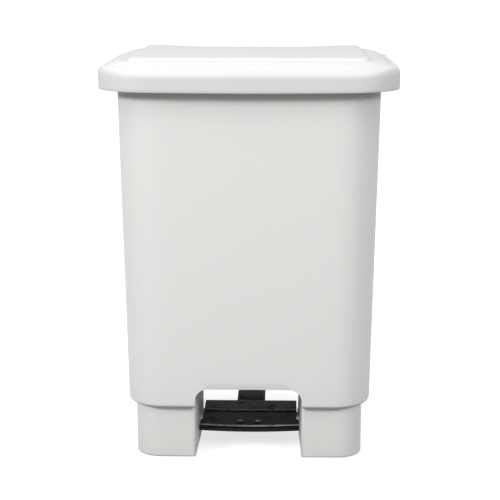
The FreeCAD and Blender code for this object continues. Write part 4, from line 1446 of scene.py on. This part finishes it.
@dataclass
class Bucket:
    """The lift-out bucket with two finger grips and a groove round the rod's channel."""

    def build(self) -> bpy.types.Object:
        """Copy the bucket's shape with rounded edges."""
        made = cad_copy("bucket", "inner_bucket")
        soften(made, 0.0006, 2)
        dress(made, Finish.BUCKET)
        return made


# ---------------------------------------------------------------- floor, light and camera


@dataclass
class Studio:
    """A pale floor, soft lamps and the camera.

    Attributes:
        eye: Camera place.
        turn: Camera heading from +Y towards +X, in radians.
        tilt: Camera tilt down, in radians.
        lens: Focal length in millimetres on a 36 mm sensor.
        glow: Light that the floor gives off, so that it stays pale.
        horizon: Brightness of the surround just above the horizon.
        overhead: Brightness of the surround straight above.
        below: Brightness of the surround below the horizon.
        box_size: Width and height of a softbox.
        box_distance: Distance of the softboxes.
    """

    eye: Point = (0.0363, -1.5654, 0.5415)
    turn: float = -0.0237
    tilt: float = 0.2066
    lens: float = 100.04
    glow: float = 0.72
    horizon: float = 0.4
    overhead: float = 1.35
    below: float = 0.13
    box_size: tuple[float, float] = (1.0, 0.3)
    box_distance: float = 2.2

    @staticmethod
    def paint(name: str, glow: float) -> bpy.types.Material:
        """Matt, pale paint that also gives off a little light."""
        tree = ShaderTree(name)
        haze = tree.noise(0.8, 2.0)
        color = tree.mix(haze * 0.1, (0.5, 0.5, 0.5), (0.45, 0.45, 0.45))
        rough = tree.noise(3.0, 1.0) * 0.05 + 0.9
        constants = {"Specular IOR Level": 0.1, "Emission Color": (1.0, 1.0, 1.0, 1.0),
                     "Emission Strength": glow}
        return tree.finish(constants, color, rough, haze, 0.0001)

    def floor(self) -> None:
        """A wide, matt floor."""
        size = 60.0
        signs = ((-1, -1), (1, -1), (1, 1), (-1, 1))
        corners = [Vector((x * size, y * size, 0.0)) for x, y in signs]
        ground = from_faces("floor", corners, [[0, 1, 2, 3]])
        ground.data.materials.append(self.paint("floor_paint", self.glow))
        ground.visible_diffuse = False

    def backdrop(self) -> None:
        """A pale wall all the way round, well behind the lamps, that lights nothing."""
        sides, radius, height = 64, 9.0, 8.0
        turns = [2 * math.pi * i / sides for i in range(sides)]
        foot = -0.5
        points = [Vector((radius * math.cos(a), radius * math.sin(a), z))
                  for z in (foot, height) for a in turns]
        faces = [[i, (i + 1) % sides, sides + (i + 1) % sides, sides + i] for i in range(sides)]
        wall = from_faces("backdrop", points, faces)
        wall.data.materials.append(self.paint("backdrop_paint", 1.0))
        wall.visible_diffuse = False
        wall.visible_glossy = False
        wall.visible_shadow = False

    def sky(self) -> None:
        """A soft white surround that is brightest overhead and dim below the horizon."""
        world = bpy.data.worlds.new("sky")
        world.use_nodes = True
        tree = Tree(world.node_tree)
        world.node_tree.nodes.clear()
        heading = tree.node("ShaderNodeTexCoord", output="Generated")
        rise = tree.node("ShaderNodeSeparateXYZ", {}, {0: heading}, output="Z")
        upper = rise.clamp() * (self.overhead - self.horizon) + self.horizon
        level = (rise * 20.0 + 0.5).clamp() * (upper - self.below) + self.below
        glow = tree.node("ShaderNodeBackground", {}, {"Strength": level})
        tree.node("ShaderNodeOutputWorld", {}, {"Surface": glow})
        bpy.context.scene.world = world

    def softbox(self, name: str, heading: float, elevation: float, watts: float) -> None:
        """A wide, low lamp aimed at the bin from above its front.

        Args:
            name: Name of the lamp.
            heading: Degrees to the right of straight ahead.
            elevation: Degrees above the horizon.
            watts: Power.
        """
        light = bpy.data.lights.new(name, "AREA")
        light.shape = "RECTANGLE"
        light.size, light.size_y = self.box_size
        light.energy = watts
        made = bpy.data.objects.new(name, light)
        bpy.context.scene.collection.objects.link(made)
        turn, rise = math.radians(heading), math.radians(elevation)
        middle = Vector((0.0, 0.0, 0.22))
        away = Vector((math.sin(turn) * math.cos(rise), -math.cos(turn) * math.cos(rise), math.sin(rise)))
        made.location = middle + away * self.box_distance
        aim = -away
        made.rotation_euler = aim.to_track_quat("-Z", "Y").to_euler()

    def build(self) -> None:
        """Make the floor, the backdrop, the sky, the lamps and the camera."""
        self.floor()
        self.backdrop()
        self.sky()
        self.softbox("softbox_left", -45.0, 26.0, 23.5)
        self.softbox("softbox_right", 45.0, 26.0, 12.0)
        self.softbox("softbox_high", 0.0, 56.0, 3.5)
        lens = bpy.data.cameras.new("camera")
        lens.lens = self.lens
        lens.sensor_width = 36.0
        lens.clip_end = 200.0
        camera = bpy.data.objects.new("camera", lens)
        bpy.context.scene.collection.objects.link(camera)
        camera.location = self.eye
        ahead = Vector((math.sin(self.turn) * math.cos(self.tilt),
                        math.cos(self.turn) * math.cos(self.tilt), -math.sin(self.tilt)))
        camera.rotation_euler = ahead.to_track_quat("-Z", "Y").to_euler()
        bpy.context.scene.camera = camera
        bpy.context.scene.view_settings.view_transform = "Standard"


def main() -> None:
    """Build the bin, piece by piece, and the studio round it."""
    logging.basicConfig(level=logging.INFO, format="%(name)s %(message)s")
    place(Tub().build(), "tub", "tub_plastic", "body_shell")
    left, right = Legs().build()
    place(left, "tub", "leg_plastic", "leg_left")
    place(right, "tub", "leg_plastic", "leg_right")
    place(Lid().build(), "lid", "lid_plastic", "lid")
    tread = Tread()
    place(tread.build(), "pedal", "pedal_plastic", "pedal_tread")
    place(tread.under_ribs(), "pedal", "pedal_plastic")
    place(Bucket().build(), "tub", "bucket_plastic", "inner_bucket")
    for part in REFINED:
        part.build()
    Fasteners().build()
    Studio().build()


if __name__ == "__main__":
    main()
